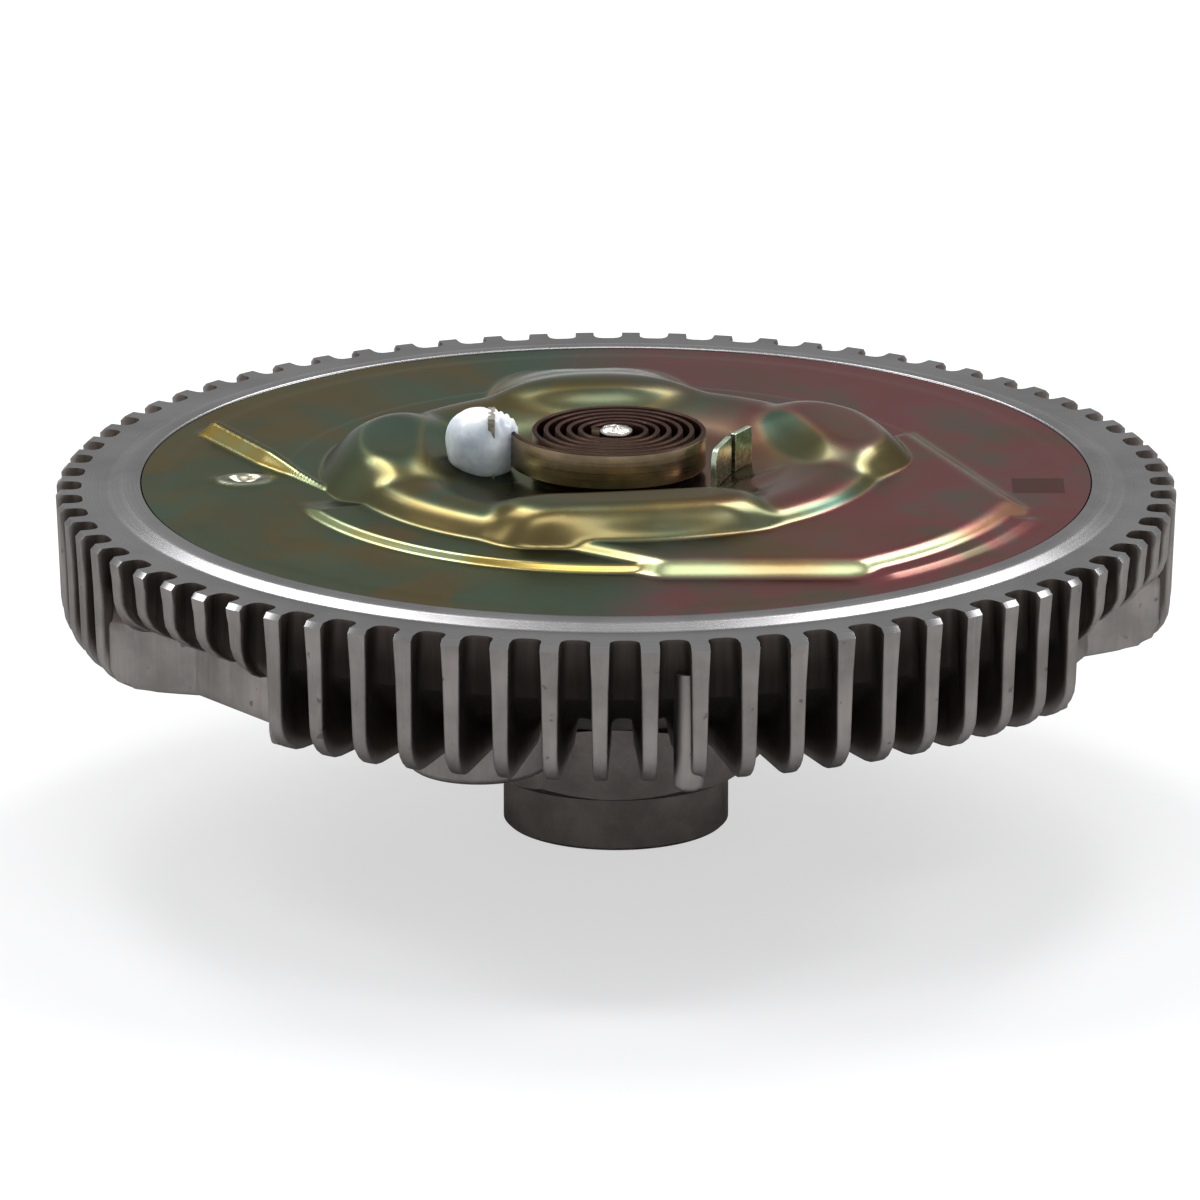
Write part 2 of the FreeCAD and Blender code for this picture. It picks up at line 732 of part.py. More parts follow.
# Drive shaft: threaded collar, hexagon, neck, bearing seat and disc seat.
shaft_turning = turned("shaft_turning", [
    ("thread_radius", "shaft_chamfer"), ("thread_radius + shaft_chamfer", "0"),
    ("collar_radius - shaft_chamfer / 2", "0"), ("collar_radius", "shaft_chamfer / 2"),
    ("collar_radius", f"{HEX_LEVEL} + 0.5"), ("neck_radius", f"{HEX_LEVEL} + 0.5"),
    ("neck_radius", "bearing_level"), ("bearing_bore_radius", "bearing_level"),
    ("bearing_bore_radius", BEARING_TOP), ("rotor_seat_radius", BEARING_TOP),
    ("rotor_seat_radius", ROTOR_TOP),
    ("rotor_seat_radius - rotor_ring_depth", ROTOR_TOP),
    ("rotor_seat_radius - rotor_ring_depth", f"{ROTOR_TOP} + rotor_ring_thickness"),
    ("rotor_seat_radius", f"{ROTOR_TOP} + rotor_ring_thickness"),
    ("rotor_seat_radius", "shaft_end_level - shaft_chamfer / 2"),
    ("rotor_seat_radius - shaft_chamfer / 2", "shaft_end_level"),
    ("0", "shaft_end_level"), ("0", "thread_depth + thread_radius / 2"),
    ("thread_radius", "thread_depth"),
])
hex_bar = doc.addObject("Part::Prism", "hex_bar")
hex_bar.Polygon = 6
hex_bar.setExpression("Circumradius", formula("hex_across_flats / 2 / cos(30deg)"))
hex_bar.setExpression("Height", formula("hex_height"))
hex_bar.setExpression("Placement.Base.z", formula(HEX_LEVEL))
hex_bar.setExpression("Placement.Rotation.Yaw", formula("hex_turn_angle * 1deg"))
hex_corner = "hex_across_flats / 2 / cos(30deg)"
hex_turning = turned("hex_turning", [
    ("neck_radius - 0.4", HEX_LEVEL), ("hex_across_flats / 2 - 0.4", HEX_LEVEL),
    (f"{hex_corner} + 0.1", f"{HEX_LEVEL} + hex_chamfer"),
    (f"{hex_corner} + 0.1", f"{HEX_TOP} - hex_chamfer / 2"),
    ("hex_across_flats / 2 - 0.2", HEX_TOP), ("neck_radius - 0.4", HEX_TOP),
])
hexagon = doc.addObject("Part::Common", "hexagon")
hexagon.Base = hex_bar
hexagon.Tool = hex_turning
joined("drive_shaft", [shaft_turning, hexagon])

# Ball bearing between the shaft and the housing.
raceway = doc.addObject("Part::Torus", "inner_raceway")
raceway_outer = doc.addObject("Part::Torus", "outer_raceway")
for torus in (raceway, raceway_outer):
    torus.setExpression("Radius1", formula("ball_pitch_radius"))
    torus.setExpression("Radius2", formula("ball_radius + groove_gap"))
    torus.setExpression("Placement.Base.z", formula(BEARING_MIDDLE))
inner_blank = turned("inner_race_blank", [
    ("bearing_bore_radius + seat_gap", "bearing_level"), ("inner_land_radius", "bearing_level"),
    ("inner_land_radius", BEARING_TOP), ("bearing_bore_radius + seat_gap", BEARING_TOP),
])
outer_blank = turned("outer_race_blank", [
    ("outer_land_radius", "bearing_level"), ("bearing_outer_radius", "bearing_level"),
    ("bearing_outer_radius", BEARING_TOP), ("outer_land_radius", BEARING_TOP),
])
minus("bearing_inner_race", inner_blank, raceway)
minus("bearing_outer_race", outer_blank, raceway_outer)
balls = []
for index in range(int(SIZES["ball_count"])):
    turn = f"({index} * 360deg / ball_count)"
    ball = doc.addObject("Part::Sphere", f"ball_{index + 1}")
    ball.setExpression("Radius", formula("ball_radius"))
    ball.setExpression("Placement.Base.x", formula(f"ball_pitch_radius * cos({turn})"))
    ball.setExpression("Placement.Base.y", formula(f"ball_pitch_radius * sin({turn})"))
    ball.setExpression("Placement.Base.z", formula(BEARING_MIDDLE))
    balls.append(ball)
ball_set = doc.addObject("Part::Compound", "bearing_balls")
ball_set.Links = balls
cage_ring = turned("cage_ring", [
    ("ball_pitch_radius - cage_thickness / 2", f"{BEARING_MIDDLE} - cage_height / 2"),
    ("ball_pitch_radius + cage_thickness / 2", f"{BEARING_MIDDLE} - cage_height / 2"),
    ("ball_pitch_radius + cage_thickness / 2", f"{BEARING_MIDDLE} + cage_height / 2"),
    ("ball_pitch_radius - cage_thickness / 2", f"{BEARING_MIDDLE} + cage_height / 2"),
])


def cage_pockets():
    """Round pockets drilled outwards through the cage, one for each ball."""
    count, depth = int(SIZES["ball_count"]), size("cage_thickness * 4")
    start = size("ball_pitch_radius") - depth / 2
    drills = []
    for pocket in range(count):
        place = angled(start, 360 * pocket / count, size(BEARING_MIDDLE))
        outwards = angled(1, 360 * pocket / count)
        drills.append(Part.makeCylinder(size("ball_radius + cage_gap"), depth, place, outwards))
    return Part.makeCompound(drills)


minus("bearing_cage", cage_ring, feature("cage_pockets", cage_pockets()))


def bearing_seal(label, level):
    """A flat seal between the races, held by the outer one."""
    turned(label, [
        ("inner_land_radius + seal_gap", level), ("outer_land_radius - seat_gap", level),
        ("outer_land_radius - seat_gap", f"{level} + seal_thickness"),
        ("inner_land_radius + seal_gap", f"{level} + seal_thickness"),
    ])


bearing_seal("bearing_seal_rear", "bearing_level + seal_inset")
bearing_seal("bearing_seal_front", f"{BEARING_TOP} - seal_inset - seal_thickness")
turned("bearing_retaining_ring", [
    ("bearing_outer_radius + ring_depth - ring_width", BEARING_TOP),
    ("bearing_outer_radius + ring_depth - seat_gap", BEARING_TOP),
    ("bearing_outer_radius + ring_depth - seat_gap", f"{BEARING_TOP} + ring_thickness"),
    ("bearing_outer_radius + ring_depth - ring_width", f"{BEARING_TOP} + ring_thickness"),
])

# Bush and seal ring for the valve pin in the middle of the cover.
BUSH_BORE = "pin_radius + running_gap"
BUSH_OUTSIDE = "pin_radius + running_gap + bush_wall"
SEAL_LEVEL = f"({DISH_UNDER} + seal_section_radius * 2.1)"
turned("control_shaft_bush", [
    (BUSH_BORE, DISH_UNDER), (BUSH_OUTSIDE, DISH_UNDER), (BUSH_OUTSIDE, DISH_TOP),
    ("bush_flange_radius", DISH_TOP), ("bush_flange_radius", f"{DISH_TOP} + bush_flange"),
    (BUSH_BORE, f"{DISH_TOP} + bush_flange"),
    (BUSH_BORE, f"{SEAL_LEVEL} + seal_section_radius + seat_gap"),
    (f"{BUSH_BORE} + seal_section_radius * 2 + seat_gap",
     f"{SEAL_LEVEL} + seal_section_radius + seat_gap"),
    (f"{BUSH_BORE} + seal_section_radius * 2 + seat_gap",
     f"{SEAL_LEVEL} - seal_section_radius - seat_gap"),
    (BUSH_BORE, f"{SEAL_LEVEL} - seal_section_radius - seat_gap"),
])
seal_ring = doc.addObject("Part::Torus", "control_shaft_seal")
seal_ring.setExpression("Radius1", formula(f"{BUSH_BORE} + seal_section_radius"))
seal_ring.setExpression("Radius2", formula("seal_section_radius"))
seal_ring.setExpression("Placement.Base.z", formula(SEAL_LEVEL))

# Valve pin with a slot for the coil's inner end and a staked head.
pin_body = turned("pin_body", [
    ("0", "pin_end_level"), ("pin_radius", "pin_end_level"),
    ("pin_radius", "pin_head_level - pin_head_height"),
    ("pin_radius * 0.7", "pin_head_level - pin_head_height / 4"),
    ("pin_radius * 0.3", "pin_head_level"), ("0", "pin_head_level"),
])


def pin_slot():
    """The slot through the pin in which the strip's inner end sits."""
    half, far = size("pin_slot_width / 2"), size("pin_radius + 1")
    low = size("strip_level") - size("running_gap")
    high = size("strip_level + strip_width + running_gap")
    plan = [V(-half, -half, 0), V(far, -half, 0), V(far, half, 0), V(-half, half, 0)]
    return slab(low, high, plan).rotated(ORIGIN, UP, inner_end_angle())


def inner_end_angle():
    """The angle at which the coil's inner end meets the pin."""
    return size("coil_end_angle + 360 * coil_turns")


minus("control_shaft", pin_body, feature("pin_slot", pin_slot()))


# Valve arm under the cover, which covers the gate hole at rest.
def valve_arm():
    """A flat hub with one arm that ends in a round pad over the gate."""
    low, thickness = size("arm_level"), size("arm_thickness")
    reach, half = size("gate_distance"), size("arm_width / 2")
    hub = Part.makeCylinder(size("arm_hub_radius"), thickness, V(0, 0, low))
    tip = Part.makeCylinder(half, thickness, V(reach, 0, low))
    bar = slab(low, low + thickness, [
        V(0, -half, 0), V(reach, -half, 0), V(reach, half, 0), V(0, half, 0)])
    arm = hub.multiFuse([tip, bar])
    bore = Part.makeCylinder(size("pin_radius + seat_gap"), thickness, V(0, 0, low))
    return arm.cut(bore).rotated(ORIGIN, UP, size("gate_angle"))


feature("valve_arm", valve_arm())


# Bimetal coil: a flat strip wound into an even spiral that leaves at its outer end.
def coil_radius(turns):
    """The strip's middle radius after so many turns from its inner end."""
    last = size("coil_turns")
    leaving = max(0.0, turns - last + 0.25) / 0.25
    return size("coil_inner_radius") + size("coil_pitch") * turns + size("coil_departure") * leaving**2


def coil_side(shift):
    """One edge of the strip in plan, as a smooth curve from the inside out."""
    steps = int(24 * size("coil_turns"))
    places = []
    for index in range(steps + 1):
        turns = size("coil_turns") * index / steps
        angle = inner_end_angle() - 360 * turns
        places.append(angled(coil_radius(turns) + shift, angle, size("strip_level")))
    curve = Part.BSplineCurve()
    curve.interpolate(places)
    return curve.toShape(), places[0], places[-1]


def bimetal_coil():
    """The strip, with a straight tab at its inner end that enters the pin."""
    half, level = size("strip_thickness / 2"), size("strip_level")
    inner_side, inner_start, inner_end = coil_side(-half)
    outer_side, outer_start, outer_end = coil_side(half)
    wire = Part.Wire([
        inner_side, Part.makeLine(inner_end, outer_end), outer_side,
        Part.makeLine(outer_start, inner_start),
    ])
    strip = Part.Face(wire).extrude(V(0, 0, size("strip_width")))
    tab = slab(level, level + size("strip_width"), [
        V(0, -half, 0), V(size("coil_inner_radius"), -half, 0),
        V(size("coil_inner_radius"), half, 0), V(0, half, 0)])
    return strip.fuse(tab.rotated(ORIGIN, UP, inner_end_angle()))


coil = feature("bimetal_coil", bimetal_coil())


# Anchor bracket at the left, which holds the coil's outer end.
def anchor_bracket():
    """An angle of sheet: a foot on the dish and an upright with a slot for the strip."""
    floor, gauge = size(DISH_TOP), size("anchor_thickness")
    half, near = size("anchor_width / 2"), -size("anchor_distance")
    upright = slab(floor, floor + size("anchor_height"), [
        V(near - gauge, -half, 0), V(near, -half, 0), V(near, half, 0), V(near - gauge, half, 0)])
    foot = slab(floor, floor + gauge, [
        V(near - size("anchor_foot"), -half, 0), V(near, -half, 0),
        V(near, half, 0), V(near - size("anchor_foot"), half, 0)])
    return upright.fuse(foot)


bracket = feature("anchor_bracket", anchor_bracket())


# Silicone that seals the coil's outer end to the bracket.
def silicone_potting():
    """An egg of silicone set on the dish, moulded round the bracket and the strip."""
    floor = size(DISH_TOP)
    egg = Part.makeSphere(1.0)
    stretch = FreeCAD.Matrix()
    stretch.scale(V(
        size("potting_half_length"), size("potting_half_width"), size("potting_half_height")))
    egg = egg.transformGeometry(stretch)
    egg.translate(V(-size("potting_distance"), size("potting_along"),
                    floor + size("potting_centre_rise")))
    reach = 4 * size("potting_half_length")
    above = Part.makeBox(2 * reach, 2 * reach, reach, V(-2 * reach, -reach, floor))
    potting = egg.common(above)
    for neighbour in (bracket, coil, cover):
        potting = potting.cut(neighbour.Shape)
    return potting


feature("silicone_potting", silicone_potting())


# Stop bracket at the right: two upright legs from one foot.
def stop_bracket():
    """Two thin upright legs in line with a bend, joined by a flat foot on the dish."""
    floor, gauge = size(DISH_TOP), size("stop_thickness")
    near = V(size("stop_near_across"), size("stop_near_along"), 0)
    bend = V(size("stop_bend_across"), size("stop_bend_along"), 0)
    far = V(size("stop_far_across"), size("stop_far_along"), 0)

    def leg(start, end, height, width):
        along = (end - start).normalize()
        side = V(-along.y, along.x, 0) * width
        return slab(floor, floor + height, [start, start - side, end - side, end])

    gap = (far - bend).normalize() * size("stop_gap")
    legs = [leg(near, bend - gap, size("stop_height"), gauge)]
    legs.append(leg(bend + gap, far, size("stop_height"), gauge))
    feet = [leg(near, bend, gauge, size("stop_foot_width"))]
    feet.append(leg(bend, far, gauge, size("stop_foot_width")))
    return legs[0].multiFuse(legs[1:] + feet)


feature("stop_bracket", stop_bracket())

NODES = [
    "housing", "front_cover", "cover_gasket", "pump_plate", "wiper_block", "wiper_rivet",
    "rotor", "rotor_retaining_ring", "drive_shaft", "bearing_inner_race", "bearing_outer_race",
    "bearing_balls", "bearing_cage", "bearing_seal_rear", "bearing_seal_front",
    "bearing_retaining_ring", "control_shaft_bush", "control_shaft_seal", "control_shaft",
    "valve_arm", "bimetal_coil", "anchor_bracket", "silicone_potting", "stop_bracket",
]
doc.recompute()
for item in doc.Objects:
    if "Invalid" in item.State or "Error" in item.State:
        raise RuntimeError(f"{item.Label} did not build: {item.State}")
pieces = {item.Label: item for item in doc.Objects if hasattr(item, "Shape")}
for name in NODES:
    shape = pieces[name].Shape
    if shape.isNull() or not shape.isValid() or shape.Volume <= 0:
        raise RuntimeError(f"{name} has no valid shape")
os.makedirs("parts", exist_ok=True)
for name in NODES:
    shape = pieces[name].Shape
    shape.exportStep(f"parts/{name}.step")
    print(f"{name}: {len(shape.Solids)} solids, {shape.Volume / 1000:.2f} cm3")
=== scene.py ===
"""The look of a viscous fan clutch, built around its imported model."""
import json
import math

import bpy
import numpy as np
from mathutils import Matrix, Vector


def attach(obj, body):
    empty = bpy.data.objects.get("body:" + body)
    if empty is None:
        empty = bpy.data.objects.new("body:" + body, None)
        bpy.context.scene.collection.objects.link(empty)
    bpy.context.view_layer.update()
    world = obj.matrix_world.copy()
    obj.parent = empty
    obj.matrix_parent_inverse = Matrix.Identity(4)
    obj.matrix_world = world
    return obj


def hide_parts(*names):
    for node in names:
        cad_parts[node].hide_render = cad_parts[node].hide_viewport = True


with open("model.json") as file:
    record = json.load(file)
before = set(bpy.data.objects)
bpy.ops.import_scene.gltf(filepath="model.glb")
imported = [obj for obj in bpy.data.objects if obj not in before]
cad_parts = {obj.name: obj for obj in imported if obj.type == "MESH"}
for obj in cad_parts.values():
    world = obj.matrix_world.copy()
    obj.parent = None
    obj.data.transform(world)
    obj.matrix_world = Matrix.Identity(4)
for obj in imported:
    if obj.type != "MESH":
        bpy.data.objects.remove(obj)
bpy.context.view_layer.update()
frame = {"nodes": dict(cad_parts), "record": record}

bl_info = {
    "name": "Viscous fan clutch",
    "version": (1, 0, 0),
    "blender": (4, 5, 0),
    "location": "3D View > Sidebar > Fan clutch",
    "description": "Builds the finned housing, stamped cover, coil and brackets of a fan clutch",
    "category": "Add Mesh",
}

MM = 0.001
THIRD = 2 * math.pi / 3         # from one lobe, boss or screw to the next
FIN_COUNT = 72
RING_COLUMNS = 240              # steps round a turned surface
SECTION_RIM = slice(0, 3)       # rows of a fin's section: along the flat rim
SECTION_LIP = slice(3, 7)       # over the slot's lip and the turned chamfer
SECTION_WALL = slice(17, 23)    # down a lobe's wall
BEAD_ROWS = 19                  # rows of the turned section that make the rolled bead
POLE = 0.01 * MM                # a turned surface closes at this radius
EYELET = (-66.3 * MM, -1.8 * MM)
WORN_EYELET = (5.2 * MM, 3.9 * MM)
ETCHED_SPOT = (75.2 * MM, -5.2 * MM)
ETCHED_HALF = 4.65 * MM
FLOOR_LEVEL = -0.2 * MM         # just clear of the hub's end face
# radius and height under the rim, in millimetres, of the casting's hidden skin
INNER_SKIN = ((62.0, -21.0), (86.0, -10.0), (88.5, -3.0))


def length(name, description, millimetres):
    """A length property, given in millimetres."""
    return bpy.props.FloatProperty(
        name=name, description=description, default=millimetres * MM, precision=5, unit="LENGTH")


def angle(name, description, degrees):
    """An angle property, given in degrees."""
    return bpy.props.FloatProperty(
        name=name, description=description, default=math.radians(degrees), unit="ROTATION")


def colour(name, description, red, green, blue):
    """A colour property in scene-linear values."""
    return bpy.props.FloatVectorProperty(
        name=name, description=description, default=(red, green, blue), size=3,
        subtype="COLOR", min=0.0, max=1.0)


class HousingSettings(bpy.types.PropertyGroup):
    """Sizes of the finned casting."""
    rim_level: length("Rim level", "Height of the machined rim over the hub's end", 62.5)
    tip_radius: length("Tip radius", "Radius over the fin tips", 100.0)
    tip_chamfer: length("Tip chamfer", "Turned chamfer at the top of the fins", 0.9)
    fin_reach: length("Fin reach", "How far the tall fins hang below the rim", 26.0)
    short_reach: length("Short fin reach", "How far the short fins hang below the rim", 14.5)
    fin_top_width: length("Fin width", "Width of a fin at the rim", 3.3)
    fin_bottom_width: length("Fin toe width", "Width of a fin at its toe", 2.5)
    fin_draft: length("Fin draft", "How far a tip leans in over the fin's height", 0.7)
    fin_edge: length("Fin edge", "Rounding along the cast edges of a fin", 0.55)
    toe_round: length("Toe round", "Rounding of a tall fin's lower corner", 7.0)
    slot_root: length("Slot root radius", "Radius at the bottom of the slots", 95.5)
    slot_corner: length("Slot corner", "Rounding at the bottom of a slot", 1.6)
    rim_thickness: length("Rim thickness", "Thickness of the slotted rim", 11.0)
    foot_radius: length("Rim foot radius", "Where the rim meets the conical back", 89.0)
    foot_depth: length("Rim foot depth", "Depth of that edge below the rim", 16.0)
    back_radius: length("Back radius", "Where the fins have run out on the back", 60.0)
    back_depth: length("Back depth", "Depth of the back there", 25.0)
    heel_radius: length("Heel radius", "Inner end of the fins' lower edge", 74.0)
    bead_foot: length("Bead foot", "Outer radius of the rolled bead", 90.9)
    bead_crest: length("Bead crest", "Radius of the bead's crest", 85.8)
    bead_inner: length("Bead inner edge", "Inner radius of the bead", 84.7)
    bead_height: length("Bead height", "Height of the bead over the rim", 1.3)
    first_fin: angle("First fin", "Direction of the first tall fin", -126.6)
    lobe_angle: angle("Lobe direction", "Direction of the first lobe's middle", -141.6)
    lobe_half: angle("Lobe half angle", "Half of the angle that a lobe spans", 14.0)
    lobe_flat_half: angle("Lobe flat half angle", "Half of the angle of a lobe's flat", 7.3)
    lobe_flat: length("Lobe flat distance", "Distance of a lobe's flat from the axis", 85.8)
    lobe_side: length("Lobe side radius", "Radius at the ends of a lobe", 97.5)
    boss_pitch: length("Boss pitch radius", "Radius of the rear bosses' circle", 65.0)
    boss_radius: length("Boss radius", "Radius of a rear boss", 12.5)
    boss_depth: length("Boss depth", "Depth of a boss's face below the rim", 33.5)
    boss_angle: angle("Boss direction", "Direction of the first boss", -111.6)
    screw_radius: length("Screw hole radius", "Radius of the fan's screw holes", 3.4)
    screw_depth: length("Screw hole depth", "Depth of the fan's screw holes", 13.0)


class CoverSettings(bpy.types.PropertyGroup):
    """Sizes of the stamped cover."""
    radius: length("Cover radius", "Radius of the cover's edge", 87.0)
    level: length("Cover level", "Height of the cover's flat over the hub's end", 63.5)
    sheet: length("Sheet", "Thickness of the sheet", 1.5)
    hole: length("Hole", "Radius of the hole for the bush", 5.07)
    dish_radius: length("Dish radius", "Radius of the dish round the coil", 26.0)
    dish_rise: length("Dish rise", "Height of the dish over the flat", 1.4)
    ring_inner: length("Ring inner radius", "Inner edge of the ring's crest", 36.0)
    ring_outer: length("Ring outer radius", "Outer edge of the ring's crest", 44.5)
    ring_foot: length("Ring foot radius", "Foot of the raised ring", 51.0)
    ring_rise: length("Ring rise", "Height of the ring's crest", 4.9)
    pad_rise: length("Pad rise", "Height of the four pads", 6.5)
    pad_slope: length("Pad slope", "Width of the slope round a pad", 5.5)
    arm_rise: length("Arm rise", "Height of the broad arm", 2.5)
    arm_slope: length("Arm slope", "Width of the slope round the arm", 4.5)
    arm_radius: length("Arm radius", "Radius of the arm's outer edge", 72.0)
    arm_edge: length("Arm edge distance", "Distance of the arm's front edge", 57.9)
    step_rise: length("Step rise", "Height of the low arc step", 1.3)
    step_radius: length("Step radius", "Radius of the low arc step", 59.5)
    ledge_rise: length("Ledge rise", "Height of the ledge outside the arm", 0.9)
    ledge_radius: length("Ledge radius", "Outer radius of that ledge", 79.8)
    rib_radius: length("Rib radius", "Radius of the straight bead's section", 2.3)
    eyelet_across: length("Eyelet across", "Half length of the oval eyelet", 4.8)
    eyelet_along: length("Eyelet along", "Half width of the oval eyelet", 3.5)


class CoilSettings(bpy.types.PropertyGroup):
    """Sizes of the bimetal coil, the valve pin and the brackets."""
    level: length("Coil level", "Height of the strip's lower edge", 66.2)
    width: length("Strip width", "Width of the strip", 6.3)
    thickness: length("Strip thickness", "Thickness of the strip", 0.9)
    inner: length("Inner radius", "Radius at the strip's inner end", 4.4)
    pitch: length("Pitch", "Distance between two turns", 2.05)
    turns: bpy.props.FloatProperty(name="Turns", description="Number of turns", default=5.95)
    end_angle: angle("End angle", "Direction of the strip's outer end", -176.0)
    departure: length("Departure", "How far the last quarter turn swings out", 1.8)
    dish_level: length("Dish level", "Height of the dish on which the brackets stand", 64.9)
    pin_radius: length("Pin radius", "Radius of the valve pin", 3.0)
    pin_low: length("Pin low", "Height of the pin's lower end", 61.9)
    pin_high: length("Pin high", "Height of the staked head", 73.3)
    anchor_distance: length("Anchor distance", "Distance of the anchor's upright", 21.6)
    anchor_gauge: length("Anchor gauge", "Thickness of the anchor's sheet", 1.2)
    anchor_width: length("Anchor width", "Width of the anchor", 8.0)
    anchor_height: length("Anchor height", "Height of the anchor", 10.6)
    potting_distance: length("Potting distance", "Distance of the silicone's middle", 23.9)
    potting_along: length("Potting along", "Offset of the silicone's middle", 0.8)
    potting_length: length("Potting half length", "Half length of the silicone", 7.2)
    potting_width: length("Potting half width", "Half width of the silicone", 6.4)
    potting_height: length("Potting half height", "Half height of the silicone", 6.85)
    potting_rise: length("Potting rise", "Height of its middle over the dish", 4.1)
    stop_gauge: length("Stop gauge", "Thickness of the stop bracket's sheet", 1.0)
    stop_height: length("Stop height", "Height of the stop bracket", 7.0)


class FinishSettings(bpy.types.PropertyGroup):
    """Colours of the finishes."""
    machined: colour("Machined aluminium", "The turned rim and bead", 0.228, 0.224, 0.228)
    cast: colour("Cast aluminium", "The fins and the back", 0.205, 0.188, 0.176)
    # painted shade: this colour and the next darken the slots' flanks and bottoms
    painted_flank_shade: colour("Flank", "The fins' flanks in the slots", 0.10, 0.082, 0.070)
    painted_slot_shade: colour("Slot", "The bottom of the slots", 0.034, 0.029, 0.0255)
    olive: colour("Olive chromate", "The cover at the left", 0.128, 0.098, 0.046)
    green: colour("Green chromate", "Green clouds in the film", 0.085, 0.105, 0.068)
    teal: colour("Teal chromate", "Teal clouds in the film", 0.050, 0.115, 0.090)
    purple: colour("Purple chromate", "The cover at the right", 0.205, 0.070, 0.078)
    # painted shade: this colour darkens the steepest slopes of the raised ring
    bronze: colour("Bronze chromate", "The film on the steepest slopes", 0.082, 0.066, 0.030)
    # partly painted highlight: the next three colours are lighter film on the cover's slopes,
    # partly the film's own tint
    gold: colour("Gold chromate", "The film on slopes at the left", 0.30, 0.215, 0.055)
    rose: colour("Rose chromate", "The film on slopes at the right", 0.33, 0.175, 0.11)
    pale: colour("Pale chromate", "Pale green clouds on slopes", 0.26, 0.30, 0.16)
    silicone: colour("Silicone", "The sealant on the coil's end", 0.70, 0.75, 0.80)
    strip: colour("Strip", "The outer face of the bimetal strip", 0.36, 0.275, 0.17)
    strip_edge: colour("Strip edge", "The strip's upper edge", 0.055, 0.030, 0.024)
    hub: colour("Hub steel", "The dark steel of the hub", 0.215, 0.19, 0.175)
    pin: colour("Pin", "The bright staked pin", 0.6, 0.57, 0.53)
    bracket: colour("Bracket", "The green passivated bracket", 0.62, 0.75, 0.58)


class StageSettings(bpy.types.PropertyGroup):
    """The camera, the lamps and the floor."""
    elevation: angle("Elevation", "Height angle of the camera", 16.43)
    distance: length("Distance", "Distance of the camera from the rim's middle", 2284.0)
    aim_across: length("Aim across", "Sideways offset of the aim", -2.86)
    aim_up: length("Aim up", "Upward offset of the aim in the picture", -20.86)
    lens: bpy.props.FloatProperty(
        name="Lens", description="Focal length in millimetres", default=383.7)
    floor: colour("Floor", "The pale floor", 0.9, 0.9, 0.9)


# Helpers for meshes.

def settings(name):
    """One of this add-on's groups of settings."""
    return getattr(bpy.context.scene, name)


def tint(name):
    """One of the finishes' colours as three plain numbers."""
    return tuple(getattr(settings("clutch_finish"), name))


def grid_faces(rows, columns, close_rows=False, close_columns=False):
    """Quads over a grid of points stored row by row, as an array of four indices a face."""
    row = np.arange(rows if close_rows else rows - 1)
    column = np.arange(columns if close_columns else columns - 1)
    i, j = np.meshgrid(row, column, indexing="ij")
    following_i, following_j = (i + 1) % rows, (j + 1) % columns
    corners = [i * columns + j, i * columns + following_j,
               following_i * columns + following_j, following_i * columns + j]
    return np.stack(corners, axis=-1).reshape(-1, 4)


def merge(parts):
    """Several (points, faces, material numbers) put together into one."""
    points, faces, kinds, shift = [], [], [], 0
    for part_points, part_faces, part_kinds in parts:
        points.append(part_points)
        faces.append(part_faces + shift)
        kinds.append(np.broadcast_to(part_kinds, len(part_faces)))
        shift += len(part_points)
    return np.concatenate(points), np.concatenate(faces), np.concatenate(kinds)


def put_piece(name, points, faces, kinds, materials, body, replaced, sharp=35.0,
              uv=None, recess=None):
    """Make the mesh, set its materials and sharp edges, and hang it on its body.

    The material numbers are one for each face, or a single one for them all. The uv map and
    the recess attribute are given one value for each point.
    """
    mesh = bpy.data.meshes.new(name)
    mesh.vertices.add(len(points))
    mesh.vertices.foreach_set("co", points.astype(np.float32).ravel())
    mesh.loops.add(faces.size)
    mesh.loops.foreach_set("vertex_index", faces.astype(np.int32).ravel())
    mesh.polygons.add(len(faces))
    starts = np.arange(0, faces.size, 4, dtype=np.int32)
    mesh.polygons.foreach_set("loop_start", starts)
    mesh.polygons.foreach_set(
        "material_index", np.broadcast_to(kinds, len(faces)).astype(np.int32))
    for material in materials:
        mesh.materials.append(material)
    if uv is not None:
        layer = mesh.uv_layers.new(name="along")
        layer.data.foreach_set("uv", uv[faces.ravel()].astype(np.float32).ravel())
    if recess is not None:
        layer = mesh.attributes.new("recess", "FLOAT", "POINT")
        layer.data.foreach_set("value", recess.astype(np.float32))
    mesh.update(calc_edges=True)
    mesh.validate()
    mesh.shade_smooth()
    mesh.set_sharp_from_angle(angle=math.radians(sharp))
    piece = bpy.data.objects.new(name, mesh)
    bpy.context.scene.collection.objects.link(piece)
    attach(piece, body)
    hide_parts(*replaced)
    return piece


def lathe(profile, columns, start=0.0):
    """A closed profile of (radius, height) carried round the vertical axis.

    A point is (r cos a, r sin a, h) for each profile point (r, h) and each angle a.
    """
    turn = start + np.linspace(0, 2 * math.pi, columns, endpoint=False)
    radius, height = profile[:, 0][:, None], profile[:, 1][:, None]
    points = np.stack(
        [radius * np.cos(turn), radius * np.sin(turn), height + 0 * turn], axis=-1)
    return points.reshape(-1, 3), grid_faces(len(profile), columns, True, True)


def arc(centre, radii, start, end, count):
    """Points on an ellipse's arc: centre + (radii[0] cos a, radii[1] sin a)."""
    turn = np.radians(np.linspace(start, end, count))
    return np.stack(
        [centre[0] + radii[0] * np.cos(turn), centre[1] + radii[1] * np.sin(turn)], axis=-1)


def straight(start, end, count):
    """Evenly spaced points from one point to another, both included."""
    share = np.linspace(0, 1, count)[:, None]
    return np.asarray(start) * (1 - share) + np.asarray(end) * share


def smooth_min(a, b, width):
    """The lesser of two fields, blended over a width by a quadratic."""
    overlap = np.maximum(width - np.abs(a - b), 0) / width
    return np.minimum(a, b) - overlap**2 * width / 4


